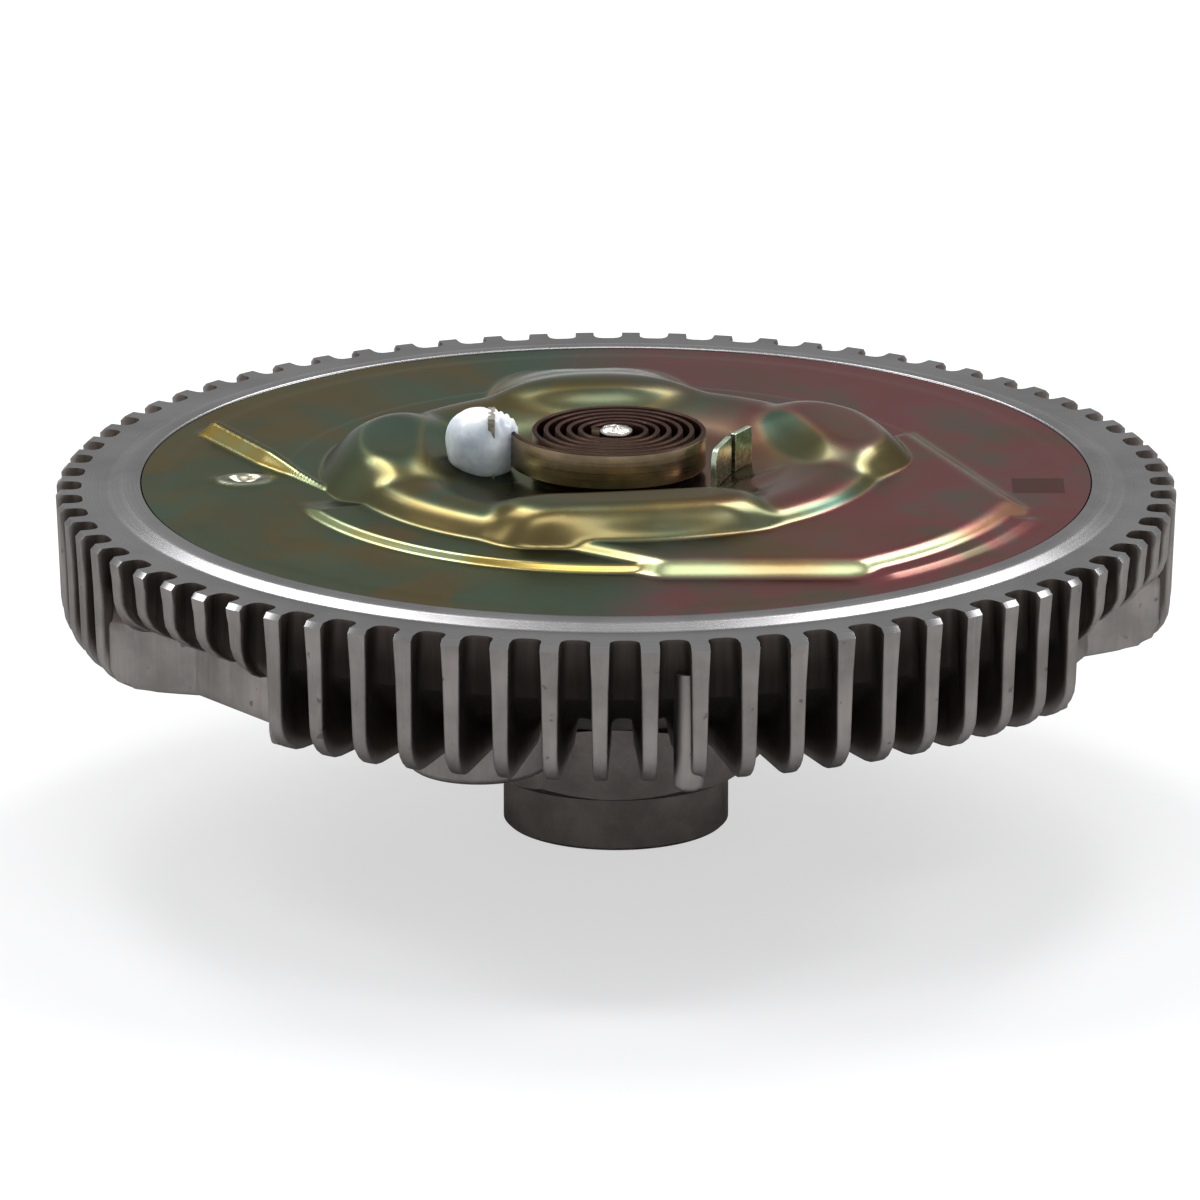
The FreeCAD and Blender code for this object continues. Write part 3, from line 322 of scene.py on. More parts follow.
def smooth_max(a, b, width):
    """The greater of two fields, blended over a width by a quadratic."""
    return -smooth_min(-a, -b, width)


# Helpers for materials.

class Nodes:
    """A material's node tree with short calls for the nodes that the finishes use."""

    def __init__(self, name):
        self.material = bpy.data.materials.new(name)
        self.material.use_nodes = True
        self.tree = self.material.node_tree
        self.shader = self.tree.nodes["Principled BSDF"]
        self.place = self.add("ShaderNodeTexCoord").outputs["Object"]

    def add(self, kind, inputs=None, **facts):
        """A node with its facts set and its inputs set or linked."""
        node = self.tree.nodes.new(kind)
        for fact, value in facts.items():
            setattr(node, fact, value)
        for key, value in (inputs or {}).items():
            self.feed(node.inputs[key], value)
        return node

    def feed(self, socket, value):
        """Link an output to a socket, or set the socket's own value."""
        if isinstance(value, bpy.types.NodeSocket):
            self.tree.links.new(value, socket)
        elif hasattr(value, "__len__") and len(value) == 3 and socket.type == "RGBA":
            socket.default_value = (*value, 1.0)
        else:
            socket.default_value = value

    def surface(self, **values):
        """Set the shader's sockets, with _ for a space in their names."""
        for key, value in values.items():
            self.feed(self.shader.inputs[key.replace("_", " ")], value)

    def maths(self, operation, a, b=0.0, c=0.0):
        """One sum."""
        return self.add(
            "ShaderNodeMath", {0: a, 1: b, 2: c}, operation=operation).outputs[0]

    def ramp(self, value, low, high, to_low=0.0, to_high=1.0):
        """A value mapped smoothly from one range to another and held at its ends."""
        return self.add("ShaderNodeMapRange", {
            "Value": value, "From Min": low, "From Max": high, "To Min": to_low,
            "To Max": to_high}, interpolation_type="SMOOTHSTEP").outputs["Result"]

    def noise(self, scale, detail=3.0, rough=0.5, stretch=None, warp=0.0):
        """Noise over the piece's own coordinates, stretched if asked."""
        place = self.place
        if stretch:
            place = self.add(
                "ShaderNodeVectorMath", {0: self.place, 1: stretch}, operation="MULTIPLY"
            ).outputs[0]
        return self.add("ShaderNodeTexNoise", {
            "Vector": place, "Scale": scale, "Detail": detail, "Roughness": rough,
            "Distortion": warp}).outputs["Fac"]

    def mix(self, share, a, b, blend="MIX"):
        """Two colours mixed by a share."""
        node = self.add("ShaderNodeMix", {"Factor": share}, data_type="RGBA", blend_type=blend)
        self.feed(node.inputs[6], a)
        self.feed(node.inputs[7], b)
        return node.outputs[2]

    def bump(self, height, depth, strength=1.0):
        """A bump of a real depth in metres."""
        return self.add("ShaderNodeBump", {
            "Height": height, "Distance": depth, "Strength": strength}).outputs["Normal"]

    def split(self, socket):
        """The three parts of a vector."""
        return self.add("ShaderNodeSeparateXYZ", {0: socket}).outputs


def about_axis(nodes):
    """The distance from the turning axis, from the piece's own coordinates."""
    x, y = nodes.split(nodes.place)[:2]
    squares = (nodes.maths("MULTIPLY", part, part) for part in (x, y))
    return nodes.maths("SQRT", nodes.maths("ADD", *squares))


def machined_finish():
    """Turned aluminium: fine rings about the axis, faint stains.

    The rings are a sine of the distance to the axis plus noise over that distance alone.
    """
    n = Nodes("machined_aluminium")
    radius, ring_pitch = about_axis(n), 0.22 * MM
    rings = n.maths("SINE", n.maths("MULTIPLY", radius, 2 * math.pi / ring_pitch))
    fine = n.add("ShaderNodeTexNoise", {
        "Vector": n.add("ShaderNodeCombineXYZ", {"X": radius}).outputs[0],
        "Scale": 2600.0, "Detail": 2.0}).outputs["Fac"]
    stain = n.noise(45.0, 4.0, 0.6)
    base = tint("machined")
    darker = tuple(0.78 * value for value in base)
    n.surface(
        Base_Color=n.mix(n.ramp(stain, 0.35, 0.7), base, darker), Metallic=1.0,
        Roughness=n.ramp(fine, 0.3, 0.7, 0.24, 0.29), Specular_Tint=(0.6, 0.6, 0.6, 1.0),
        Normal=n.bump(
            n.maths("ADD", fine, n.maths("MULTIPLY", rings, 0.05)), 0.003 * MM, 0.12))
    return n.material


def cast_finish():
    """Die-cast aluminium: fine grain, drawn marks down the fins, painted shade in the slots.

    The piece's own recess attribute says how deep in a slot a point lies, and so how much painted
    shade its colour gets.
    """
    n = Nodes("cast_aluminium")
    grain = n.noise(2200.0, 3.0, 0.6)
    drawn = n.noise(900.0, 3.0, 0.6, stretch=(1.0, 1.0, 0.06))
    cloud = n.noise(70.0, 4.0, 0.6)
    spots = n.ramp(n.noise(420.0, 2.0, 0.5), 0.68, 0.74)
    base = tint("cast")
    lighter = tuple(1.2 * value for value in base)
    darker = tuple(0.8 * value for value in base)
    tone = n.mix(n.ramp(cloud, 0.3, 0.7), darker, lighter)
    rubbed, pitted = (0.3, 0.3, 0.31), (0.05, 0.045, 0.04)
    tone = n.mix(n.maths("MULTIPLY", n.ramp(drawn, 0.55, 0.75), 0.25), tone, rubbed)
    tone = n.mix(n.maths("MULTIPLY", spots, 0.6), tone, pitted)
    # painted shade: the slots' flanks and bottoms are darkened in colour by how deep in a slot a
    # point lies
    recess = n.add("ShaderNodeAttribute", attribute_name="recess").outputs["Fac"]
    tone = n.mix(n.ramp(recess, 0.0, 0.45), tone, tint("painted_flank_shade"))
    tone = n.mix(n.ramp(recess, 0.45, 0.95), tone, tint("painted_slot_shade"))
    height = n.maths("ADD", n.maths("MULTIPLY", grain, 0.6), drawn)
    rough = n.maths(
        "ADD", n.ramp(drawn, 0.3, 0.7, 0.4, 0.52), n.ramp(recess, 0.5, 1.0, 0.0, 0.3))
    n.surface(
        Base_Color=tone, Metallic=1.0, Roughness=rough,
        Specular_Tint=(0.45, 0.45, 0.45, 1.0), Normal=n.bump(height, 0.05 * MM, 0.5))
    return n.material


def chromate_finish():
    """Yellow chromate on zinc: clouds of olive, green and teal, purple towards the right.

    The slope is 1 minus the upward part of the surface's normal. The film on slopes is golden
    at the left, rosy at the right and pale green in clouds: partly the film's own tint, partly
    painted highlight, lighter than the flats where the lamps catch the shoulders. The steepest
    slopes of the raised ring are darkened to bronze and teal as painted shade. One square is
    etched dark and matt, and the eyelet's rim is worn to bare zinc.
    """
    n = Nodes("yellow_chromate")
    x, y = n.split(n.place)[:2]
    slope = n.maths("SUBTRACT", 1.0, n.split(
        n.add("ShaderNodeNewGeometry").outputs["Normal"])[2])
    cloud = n.noise(24.0, 3.0, 0.55, warp=0.8)
    veil = n.noise(13.0, 2.0, 0.5, warp=0.5)
    blotch = n.noise(55.0, 3.0, 0.6)
    left = n.mix(n.ramp(cloud, 0.43, 0.57), tint("olive"), tint("green"))
    left = n.mix(n.ramp(veil, 0.48, 0.62), left, tint("teal"))
    drift = n.maths("ADD", x, n.maths("MULTIPLY", n.maths("SUBTRACT", veil, 0.5), 0.22))
    tone = n.mix(n.ramp(drift, -0.008, 0.058), left, tint("purple"))
    tone = n.mix(n.ramp(blotch, 0.48, 0.72, 0.0, 0.5), tone, tint("teal"))
    patch = n.noise(31.0, 2.0, 0.5, warp=1.0)
    tone = n.mix(n.ramp(patch, 0.54, 0.68, 0.0, 0.6), tone, tint("green"))
    hue = n.noise(34.0, 2.0, 0.5, warp=0.4)
    # partly painted highlight: on slopes the colour turns to a lighter golden, rosy or pale film
    # where the lamps catch the shoulders, partly the film's own tint
    warm = n.mix(n.ramp(drift, -0.01, 0.06), tint("gold"), tint("rose"))
    film = n.mix(n.ramp(hue, 0.42, 0.6), warm, tint("pale"))
    tone = n.mix(n.ramp(slope, 0.01, 0.11, 0.0, 0.9), tone, film)
    # painted shade: steep slopes within about 52 to 56 mm of the axis are darkened to bronze and
    # teal
    steep = n.mix(n.ramp(veil, 0.42, 0.6), tint("bronze"), tint("teal"))
    inner = n.ramp(about_axis(n), 52 * MM, 56 * MM, 0.92, 0.0)
    tone = n.mix(n.maths("MULTIPLY", n.ramp(slope, 0.035, 0.095), inner), tone, steep)
    scratch = n.ramp(n.noise(380.0, 2.0, 0.6, stretch=(1.0, 0.12, 1.0)), 0.70, 0.78)
    scratched, dark_etch, bare_zinc = (0.2, 0.19, 0.14), (0.022, 0.02, 0.017), (0.24, 0.25, 0.21)
    tone = n.mix(n.maths("MULTIPLY", scratch, 0.2), tone, scratched)
    square = n.maths("MAXIMUM", *(
        n.maths("ABSOLUTE", n.maths("SUBTRACT", place, middle))
        for place, middle in zip((x, y), ETCHED_SPOT)))
    etched = n.maths("LESS_THAN", square, ETCHED_HALF)
    tone = n.mix(n.maths("MULTIPLY", etched, 0.8), tone, dark_etch)
    across, along = (
        n.maths("DIVIDE", n.maths("SUBTRACT", place, middle), half)
        for place, middle, half in zip((x, y), EYELET, WORN_EYELET))
    away = n.maths("ADD", n.maths("MULTIPLY", across, across), n.maths("MULTIPLY", along, along))
    tone = n.mix(n.ramp(away, 1.1, 0.8, 0.0, 0.8), tone, bare_zinc)
    grain = n.noise(1400.0, 2.0, 0.5)
    rough = n.maths(
        "ADD", n.ramp(blotch, 0.3, 0.7, 0.18, 0.26), n.maths("MULTIPLY", etched, 0.3))
    n.surface(
        Base_Color=tone, Metallic=1.0, Roughness=rough, Specular_Tint=(0.5, 0.5, 0.48, 1.0),
        Normal=n.bump(grain, 0.01 * MM, 0.15))
    return n.material


def plain_metal(name, base, low, high, depth=0.02 * MM, scale=900.0):
    """A metal with fine grain and darker clouds, between two roughnesses."""
    n = Nodes(name)
    grain, cloud = n.noise(scale, 3.0, 0.6), n.noise(120.0, 3.0, 0.55)
    darker = tuple(0.7 * value for value in base)
    n.surface(
        Base_Color=n.mix(n.ramp(cloud, 0.3, 0.7), base, darker), Metallic=1.0,
        Roughness=n.ramp(grain, 0.3, 0.7, low, high), Normal=n.bump(grain, depth, 0.6),
        Specular_Tint=(0.5, 0.5, 0.5, 1.0))
    return n.material


def strip_finish():
    """The bimetal strip: rolled along its length, brassy outside.

    The rolling marks are noise over the strip's own uv map, stretched along its length.
    """
    n = Nodes("bimetal_strip")
    uv = n.add("ShaderNodeUVMap", uv_map="along").outputs[0]
    drawn = n.add("ShaderNodeTexNoise", {
        "Vector": n.add("ShaderNodeVectorMath", {0: uv, 1: (40.0, 2400.0, 1.0)},
                        operation="MULTIPLY").outputs[0],
        "Scale": 1.0, "Detail": 3.0}).outputs["Fac"]
    cloud = n.noise(160.0, 3.0, 0.6)
    base = tint("strip")
    darker = tuple(0.6 * value for value in base)
    tone = n.mix(n.ramp(cloud, 0.3, 0.7), base, darker)
    n.surface(
        Base_Color=tone, Metallic=1.0, Roughness=n.ramp(drawn, 0.3, 0.7, 0.26, 0.4),
        Normal=n.bump(drawn, 0.02 * MM, 0.5))
    return n.material


def silicone_finish():
    """Milky sealant: soft, bluish, with light scattered a few millimetres under its skin."""
    n = Nodes("silicone")
    lumps, base = n.noise(260.0, 3.0, 0.6), tint("silicone")
    paler = tuple(min(1.0, 1.3 * value) for value in base)
    n.surface(
        Base_Color=n.mix(n.ramp(lumps, 0.35, 0.7), base, paler), Roughness=0.32,
        Subsurface_Weight=0.6, Subsurface_Radius=(0.6, 0.7, 0.9), Subsurface_Scale=5 * MM,
        Coat_Weight=0.3, Coat_Roughness=0.2, Normal=n.bump(lumps, 0.4 * MM, 0.6))
    return n.material


def rubber_finish():
    """Plain black rubber."""
    n = Nodes("black_rubber")
    grain = n.noise(1500.0, 2.0, 0.5)
    n.surface(
        Base_Color=(0.02, 0.02, 0.02), Roughness=n.ramp(grain, 0.3, 0.7, 0.5, 0.65),
        Normal=n.bump(grain, 0.03 * MM, 0.5))
    return n.material


# The housing's casting.

def back_level(radius):
    """The conical back's height at a radius, below the rim."""
    s = settings("clutch_housing")
    share = (s.foot_radius - radius) / (s.foot_radius - s.back_radius)
    return -s.foot_depth - share * (s.back_depth - s.foot_depth)


def lobe_radius(turn):
    """A lobe's wall over the angle: a flat, then two flared sides; 0 away from the lobes.

    The flat's radius is its distance divided by cos(angle from its middle), and the sides
    climb evenly from the flat's edge to the side radius. A small margin keeps the wall at the
    columns that stand right at a lobe's end.
    """
    s = settings("clutch_housing")
    margin = 0.004      # radians
    off = np.abs((turn - s.lobe_angle + THIRD / 2) % THIRD - THIRD / 2)
    flat = s.lobe_flat / np.cos(off)
    share = (off - s.lobe_flat_half) / (s.lobe_half - s.lobe_flat_half)
    edge = s.lobe_flat / math.cos(s.lobe_flat_half)
    wall = np.where(off < s.lobe_flat_half, flat, edge + share * (s.lobe_side - edge))
    return np.where(off < s.lobe_half + margin, wall, 0.0)


def fin_paths(wall):
    """The four section paths, row by row: tall tip, tall root, short tip, short root.

    Each row is (radius, height under the rim). Tip paths run out along the rim, over the
    turned chamfer, down the tip, round the toe and in along the lower edge. Root paths run
    down the slot and in along the back or down a lobe's wall, whose radius is given.
    """
    s = settings("clutch_housing")
    root, tip, chamfer = s.slot_root, s.tip_radius, s.tip_chamfer
    rim = np.array([[s.bead_foot, 0.0], [root - 2.5 * MM, 0.0], [root - 0.3 * MM, 0.0]])
    crown = np.array([[root + 1.5 * MM, 0.0], [tip - chamfer, 0.0], [tip, -chamfer]])
    lip = np.array([[root - 0.1 * MM, 0.0], [root, -0.2 * MM], [root, -chamfer]])
    toe, reach, lean = s.toe_round, s.fin_reach, s.fin_draft
    toe_end, heel_end = tip - lean - toe, s.heel_radius - 7.5 * MM
    tall_tip = np.concatenate([
        rim, crown,
        straight((tip - 0.2 * lean, -4 * MM), (tip - lean, toe - reach), 5),
        arc((toe_end, toe - reach), (toe, toe), -15, -90, 6),
        straight((toe_end - 3 * MM, -reach), (s.heel_radius, -reach), 6),
    ])
    # the heel climbs at one in two until it meets the back
    inner = np.linspace(s.heel_radius - 2 * MM, heel_end, 4)
    heel = np.stack([inner, -reach + (s.heel_radius - inner) / 2], axis=-1)
    heel[:, 1] = np.minimum(heel[:, 1], back_level(inner) - 0.02 * MM)
    tall_tip = np.concatenate([tall_tip, heel])
    depth = s.rim_thickness
    tall_root = np.concatenate([
        rim, lip,
        straight((root, -4 * MM), (root, 0.4 * MM - depth), 5),
        straight((root - 0.6 * MM, -depth), (s.foot_radius, -s.foot_depth), 6),
        np.stack([np.linspace(s.foot_radius - 2 * MM, s.heel_radius, 6)] * 2, axis=-1),
        np.stack([inner, back_level(inner)], axis=-1),
    ])
    tall_root[SECTION_WALL, 1] = back_level(tall_root[SECTION_WALL, 0])
    reach = s.short_reach
    shoulder = -0.45 * reach
    # down a lobe's wall, round its foot, and in along its lower side
    wall_end = np.array([
        [wall, -reach - 1 * MM], [wall, -19.0 * MM], [wall, -22.0 * MM], [wall, -24.6 * MM],
        [wall - 0.4 * MM, -25.6 * MM], [wall - 1.4 * MM, -s.fin_reach]])
    inwards = np.array([
        [80.0 * MM, -s.fin_reach], [s.heel_radius, -s.fin_reach],
        [70.4 * MM, -25.6 * MM], [heel_end, back_level(heel_end)]])
    short_tip = np.concatenate([
        rim, crown,
        straight((tip - 0.1 * lean, -2.5 * MM), (tip - 0.4 * lean, shoulder), 5),
        arc((wall, shoulder), (tip - 0.4 * lean - wall, reach + shoulder), -12, -90, 6),
        wall_end, inwards])
    short_root = np.concatenate([
        rim, lip,
        straight((root, -3 * MM), (root, -8 * MM), 5),
        arc((wall, -8 * MM), (root - wall, reach - 8.5 * MM), -12, -90, 6),
        wall_end, inwards])
    run_out = 64 * MM
    end = np.array([[run_out, back_level(run_out)], [s.back_radius, -s.back_depth]])
    return [np.concatenate([path, end, np.array(INNER_SKIN) * MM]) for path in (
        tall_tip, tall_root, short_tip, short_root)]


def path_normals(path):
    """The outward normal of a section path at each row: none on the rim, level at the lip."""
    step = np.gradient(path, axis=0)
    normal = np.stack([-step[:, 1], step[:, 0]], axis=-1)
    normal /= np.maximum(np.linalg.norm(normal, axis=-1, keepdims=True), 1e-9)
    normal[SECTION_RIM] = 0.0
    normal[SECTION_LIP] = (1.0, 0.0)
    return normal


def fin_ring():
    """The slotted rim with its fins and lobes as one closed surface.

    It is a function of a row on the section path and a column round the rim. A column is a
    share w from the slot's root to the fin's tip, P = root + w (tip - root), at a sideways
    distance from the fin's middle; the fin's edges and the slot's corners are quarter rounds.
    Below a short fin's toe the rounds fade out into the lobe's smooth wall. The recess that
    comes back with the ring sets the painted shade: 0 on a fin's outer face and the rim, and 1
    deep in a slot.
    """
    s = settings("clutch_housing")
    pitch = 2 * math.pi / FIN_COUNT
    quarter = np.radians([30.0, 60.0, 90.0])
    # kind, share w, quarter-round angle: one half of a pitch from the fin's middle outwards
    half = [("fin", 1.0, 0.0), ("edge", 1.0, 0.0)]
    half += [("edge", 1.0, a) for a in quarter]
    half += [("side", 0.75, 0.0), ("side", 0.4, 0.0)]
    half += [("corner", 0.0, a) for a in (0.0, *quarter)]
    half += [("root", 0.0, 0.5), ("root", 0.0, 1.0)]
    columns = [(1, *item) for item in half] + [(-1, *item) for item in half[-2:0:-1]]
    fins = s.first_fin + pitch * np.arange(FIN_COUNT)
    tall_section = fin_paths(s.foot_radius)[0]
    rows = len(tall_section)
    row = np.arange(rows)
    points = np.zeros((rows, FIN_COUNT, len(columns), 3))
    recess = np.zeros((rows, FIN_COUNT, len(columns)))
    depth = np.clip(-tall_section[:, 1] / s.fin_reach, 0, 1)
    half_width = 0.5 * (s.fin_top_width + (s.fin_bottom_width - s.fin_top_width) * depth)
    rounded = np.clip((row - 5) / 2.0, 0.12, 1.0) * s.fin_edge
    # how far a lobe's wall curls in at its foot, and how far its ends may stand out
    sunk = np.array([0.0, 0.0, 0.0, 0.0, 0.4, 1.4]) * MM
    envelope = s.tip_radius - s.fin_draft - np.array([0.0, 0.0, 0.7, 2.8, 5.0, 8.0]) * MM
    for fin, middle in enumerate(fins):
        for number, (side, kind, share, turn) in enumerate(columns):
            base = middle if side > 0 else middle + pitch
            toe = 0.5 * s.fin_bottom_width
            offset = {"fin": 0.0, "corner": toe + s.slot_corner * (1 - math.cos(turn))}
            aside = offset.get(kind, toe) / s.lobe_flat
            if kind == "root":
                corner = (toe + s.slot_corner) / s.lobe_flat
                aside = corner + turn * (pitch / 2 - corner)
            looked = base + side * aside
            wall = float(lobe_radius(np.array(looked)))
            own_wall = float(lobe_radius(np.array(base)))
            other_wall = float(lobe_radius(np.array(middle + pitch if side > 0 else middle)))
            tall_tip, tall_root, short_tip, short_root = fin_paths(max(wall, 80 * MM))
            short = own_wall > 0
            low = short or (kind in ("corner", "root") and other_wall > 0 and wall > 0)
            tip, root = (short_tip if short else tall_tip), (short_root if low else tall_root)
            # the rounds fade out at a short fin's toe and at a tall fin's heel
            fade = np.interp(row, [11, 16] if low else [21, 23], [1.0, 0.0])
            path = root + share * (tip - root)
            round_here = rounded * fade
            radius = path[:, 0]
            limit = np.minimum(s.slot_corner, 0.9 * (radius * pitch / 2 - half_width))
            if kind == "edge":
                path = path - path_normals(tip) * (round_here * (1 - math.cos(turn)))[:, None]
            if kind == "corner":
                path = path + path_normals(root) * (
                    limit * fade * (1 - math.sin(turn)))[:, None]
            radius = path[:, 0].copy()
            if kind == "fin":
                sideways = 0.0 * radius
            elif kind == "edge":
                sideways = (half_width - round_here * (1 - math.sin(turn))) / radius
                if turn == 0.0:
                    sideways = (half_width - rounded) / radius
            elif kind == "side":
                sideways = half_width / radius
            elif kind == "corner":
                sideways = (half_width + limit * (1 - math.cos(turn))) / radius
            else:
                corner = (half_width + limit) / radius
                sideways = corner + turn * (pitch / 2 - corner)
            direction = base + side * sideways
            if low:
                beneath = lobe_radius(direction[SECTION_WALL])
                beneath = np.where(beneath > 0, beneath - sunk, radius[SECTION_WALL])
                radius[SECTION_WALL] = np.minimum(beneath, envelope)
            points[:, fin, number] = np.stack([
                radius * np.cos(direction), radius * np.sin(direction),
                s.rim_level + path[:, 1]], axis=-1)
            # painted shade: darker from the rim down into a slot, light again on a lobe's wall,
            # and darker again towards a tall fin's heel
            deep = {"fin": 0.0, "edge": 0.0, "side": 1.0 - 0.75 * share}.get(kind, 1.0)
            dark = np.where(row < SECTION_RIM.stop, 0.0, deep)
            if low:
                dark = dark * np.interp(row, [3, 6, 12, 16], [0.6, 0.95, 0.85, 0.0])
            else:
                dark = dark * np.interp(row, [3, 9], [0.6, 1.0])
                dark = np.maximum(dark, np.interp(row, [21, 24], [0.0, 0.6]))
            recess[:, fin, number] = dark
    count = FIN_COUNT * len(columns)
    faces = grid_faces(rows, count, True, True)
    # the turned faces: the whole rim, and the chamfer on the fins' crowns
    crown = np.tile(np.arange(len(columns)), FIN_COUNT)
    crown = np.minimum(crown, len(columns) - 1 - crown) < 4
    at_top = np.repeat(row, count)
    turned = (at_top < SECTION_RIM.stop) | ((at_top < 5) & np.tile(crown, rows))
    kinds = np.where(turned, 1, 0)
    return (points.reshape(-1, 3), faces, kinds), recess.ravel()


def casting_profile():
    """The turned section of the housing inside the fins, as one closed loop.

    The rolled bead is three arcs: its foot's hollow, its shoulder and its inner edge. Straight
    lines join them and the other corners.
    """
    s = settings("clutch_housing")
    foot, shoulder, lip, lip_rise = 1.6 * MM, 3 * MM, 0.8 * MM, 0.9 * MM
    bead = np.concatenate([
        arc((s.bead_foot, foot), (foot, foot), -90, -113.5, 4),
        arc((s.bead_crest + 1.7 * MM, s.bead_height - 3.22 * MM), (shoulder, shoulder),
            66.5, 84, 8),
        arc((s.bead_inner + lip, s.bead_height - lip_rise), (lip, lip_rise), 95, 180, 6),
        np.array([[s.bead_inner, 1 * MM]])])
    # radius and height in millimetres: the seat under the cover, the chamber and its lands,
    # the bearing's seat and the cast back
    levels = [
        (87.05, 1.0), (87.05, -1.0), (84.25, -1.0), (84.25, -2.0), (80.5, -2.0), (80.5, -4.3),
        (78.7, -4.3), (78.7, -16.1)]
    for land in range(5):
        middle = 72.5 - 5.0 * land
        levels += [(middle + 1, -16.1), (middle + 1, -10.3), (middle - 1, -10.3),
                   (middle - 1, -16.1)]
    levels += [
        (47.0, -16.1), (45.0, -22.5), (31.0, -22.5), (31.0, -16.1), (26.02, -16.1),
        (26.02, -33.5), (22.5, -33.5), (22.5, -36.1), (22.9, -36.5), (30.9, -36.5),
        (31.5, -36.0), (33.0, -33.0), (36.0, -32.0), (60.0, -25.0), *INNER_SKIN]
    section = np.concatenate([bead, np.array(levels) * MM])
    section[:, 1] += s.rim_level
    return section


def rear_boss(direction):
    """A rear boss with a rounded face edge and its screw hole, turned about its own axis."""
    s = settings("clutch_housing")
    face, edge, bevel, height = s.rim_level - s.boss_depth, 1.2 * MM, 0.6 * MM, 17 * MM
    bottom = face + s.screw_depth
    profile = np.concatenate([
        np.array([[POLE, bottom + 1.5 * MM], [s.screw_radius, bottom],
                  [s.screw_radius, face + bevel], [s.screw_radius + bevel, face]]),
        arc((s.boss_radius - edge, face + edge), (edge, edge), -90, 0, 5),
        np.array([[s.boss_radius, face + height], [POLE, face + height]])])
    points, faces = lathe(profile, 56)
    points[:, 0] += s.boss_pitch * math.cos(direction)
    points[:, 1] += s.boss_pitch * math.sin(direction)
    return points, faces, 0


def cast_runner():
    """The round-ended mark of a casting gate beside one fin: an upright turned profile."""
    s = settings("clutch_housing")
    radius, edge, low, high = 2.6 * MM, 1.2 * MM, s.rim_level - 27.2 * MM, s.rim_level - 6 * MM
    profile = np.concatenate([
        np.array([[POLE, low]]), arc((radius - edge, low + edge), (edge, edge), -80, 0, 5),
        np.array([[radius, high], [POLE, high]])])
    points, faces = lathe(profile, 24)
    points[:, 0] += 12.5 * MM
    points[:, 1] -= 94 * MM
    return points, faces, 0


class CLUTCH_OT_housing(bpy.types.Operator):
    """Build the finned casting"""
    bl_idname = "clutch.housing"
    bl_label = "Housing"

    def execute(self, context):
        s = settings("clutch_housing")
        profile = casting_profile()
        turned_points, turned_faces = lathe(profile, RING_COLUMNS)
        row = np.repeat(np.arange(len(profile)), RING_COLUMNS)
        turned_kinds = np.where(row < BEAD_ROWS, 1, 0)
        ring, recess = fin_ring()
        parts = [ring, (turned_points, turned_faces, turned_kinds), cast_runner()]
        parts += [rear_boss(s.boss_angle + THIRD * number) for number in range(3)]
        points, faces, kinds = merge(parts)
        recess = np.concatenate([recess, np.zeros(len(points) - len(recess))])
        put_piece("housing_casting", points, faces, kinds, [cast_finish(), machined_finish()],
                  "housing", ["housing"], recess=recess)
        return {"FINISHED"}


# The stamped cover.

PADS = (
    # direction in degrees, inner edge, outer edge, half width and sideways shift in
    # millimetres, how round the outer edge is, the corners' rounding and the width of
    # the outer slope in millimetres
    (-80.5, 28.0, 40.0, 20.5, -3.0, 0.15, 7.0, 5.5),
    (180.0, 34.0, 47.0, 18.5, -4.5, 1.0, 12.0, 5.5),
    (18.0, 36.0, 49.5, 19.0, 0.0, 1.0, 12.0, 5.5),
    (95.0, 37.0, 50.0, 16.5, 0.0, 0.3, 14.0, 20.0),
)
ARM_EDGES = (
    # x and y of an edge's start and end in millimetres, with the arm at its right
    (8.6, -57.9, -14.0, -42.0),     # the front edge's left end into the ring's foot
    (51.4, 22.9, 69.7, -22.9),      # the arm's right end
    (-12.6, -43.4, 52.8, 21.5),     # behind, under the ring
)
RIB_LINE = (-72.0, 27.8, -51.5, -8.0)     # x and y of the straight bead's ends, in millimetres


def plateau(inwards, rise, slope, shoulder):
    """A flat top over a region, from the distance inwards of its foot.

    The height is rise x distance / slope, cut off at the rise with a rounded shoulder.
    """
    return smooth_min(inwards * rise / slope, rise + 0 * inwards, shoulder)


def pad_height(x, y, pad):
    """One raised pad: a plateau over a rectangle with well rounded corners.

    The outer edge lies at sqrt(outwards^2 + (roundness x across)^2) = end, which is straight
    at a roundness of 0 and an arc about the axis at 1.
    """
    s = settings("clutch_cover")
    turn = math.radians(pad[0])
    start, end, half = (value * MM for value in pad[1:4])
    outwards = x * math.cos(turn) + y * math.sin(turn)
    across = np.abs(-x * math.sin(turn) + y * math.cos(turn) - pad[4] * MM)
    outer = (end - np.hypot(outwards, pad[5] * across)) * s.pad_slope / (pad[7] * MM)
    inside = smooth_min(outwards - start, outer, 5 * MM)
    inside = smooth_min(inside, half - across, pad[6] * MM) + s.pad_slope
    far_outside = -20 * MM
    inside = np.where(outwards > 0, inside, far_outside)
    return plateau(inside, s.pad_rise, s.pad_slope, 3.4 * MM)


def ring_height(radius):
    """The dish and the raised ring round it, from the distance to the axis.

    The ring is the least of a line that climbs out of the dish, one that falls to the ring's
    foot and the crest's level, with blends between them.
    """
    s = settings("clutch_cover")
    climb = (radius - s.dish_radius) / (s.ring_inner - s.dish_radius)
    inner = s.dish_rise + climb * (s.ring_rise - s.dish_rise)
    outer = (s.ring_foot - radius) / (s.ring_foot - s.ring_outer) * s.ring_rise
    crest = smooth_min(smooth_min(inner, outer, 5 * MM), s.ring_rise + 0 * radius, 3 * MM)
    return np.where(radius < 0.5 * (s.ring_inner + s.ring_outer),
                    smooth_max(crest, s.dish_rise + 0 * radius, 1.2 * MM), crest)


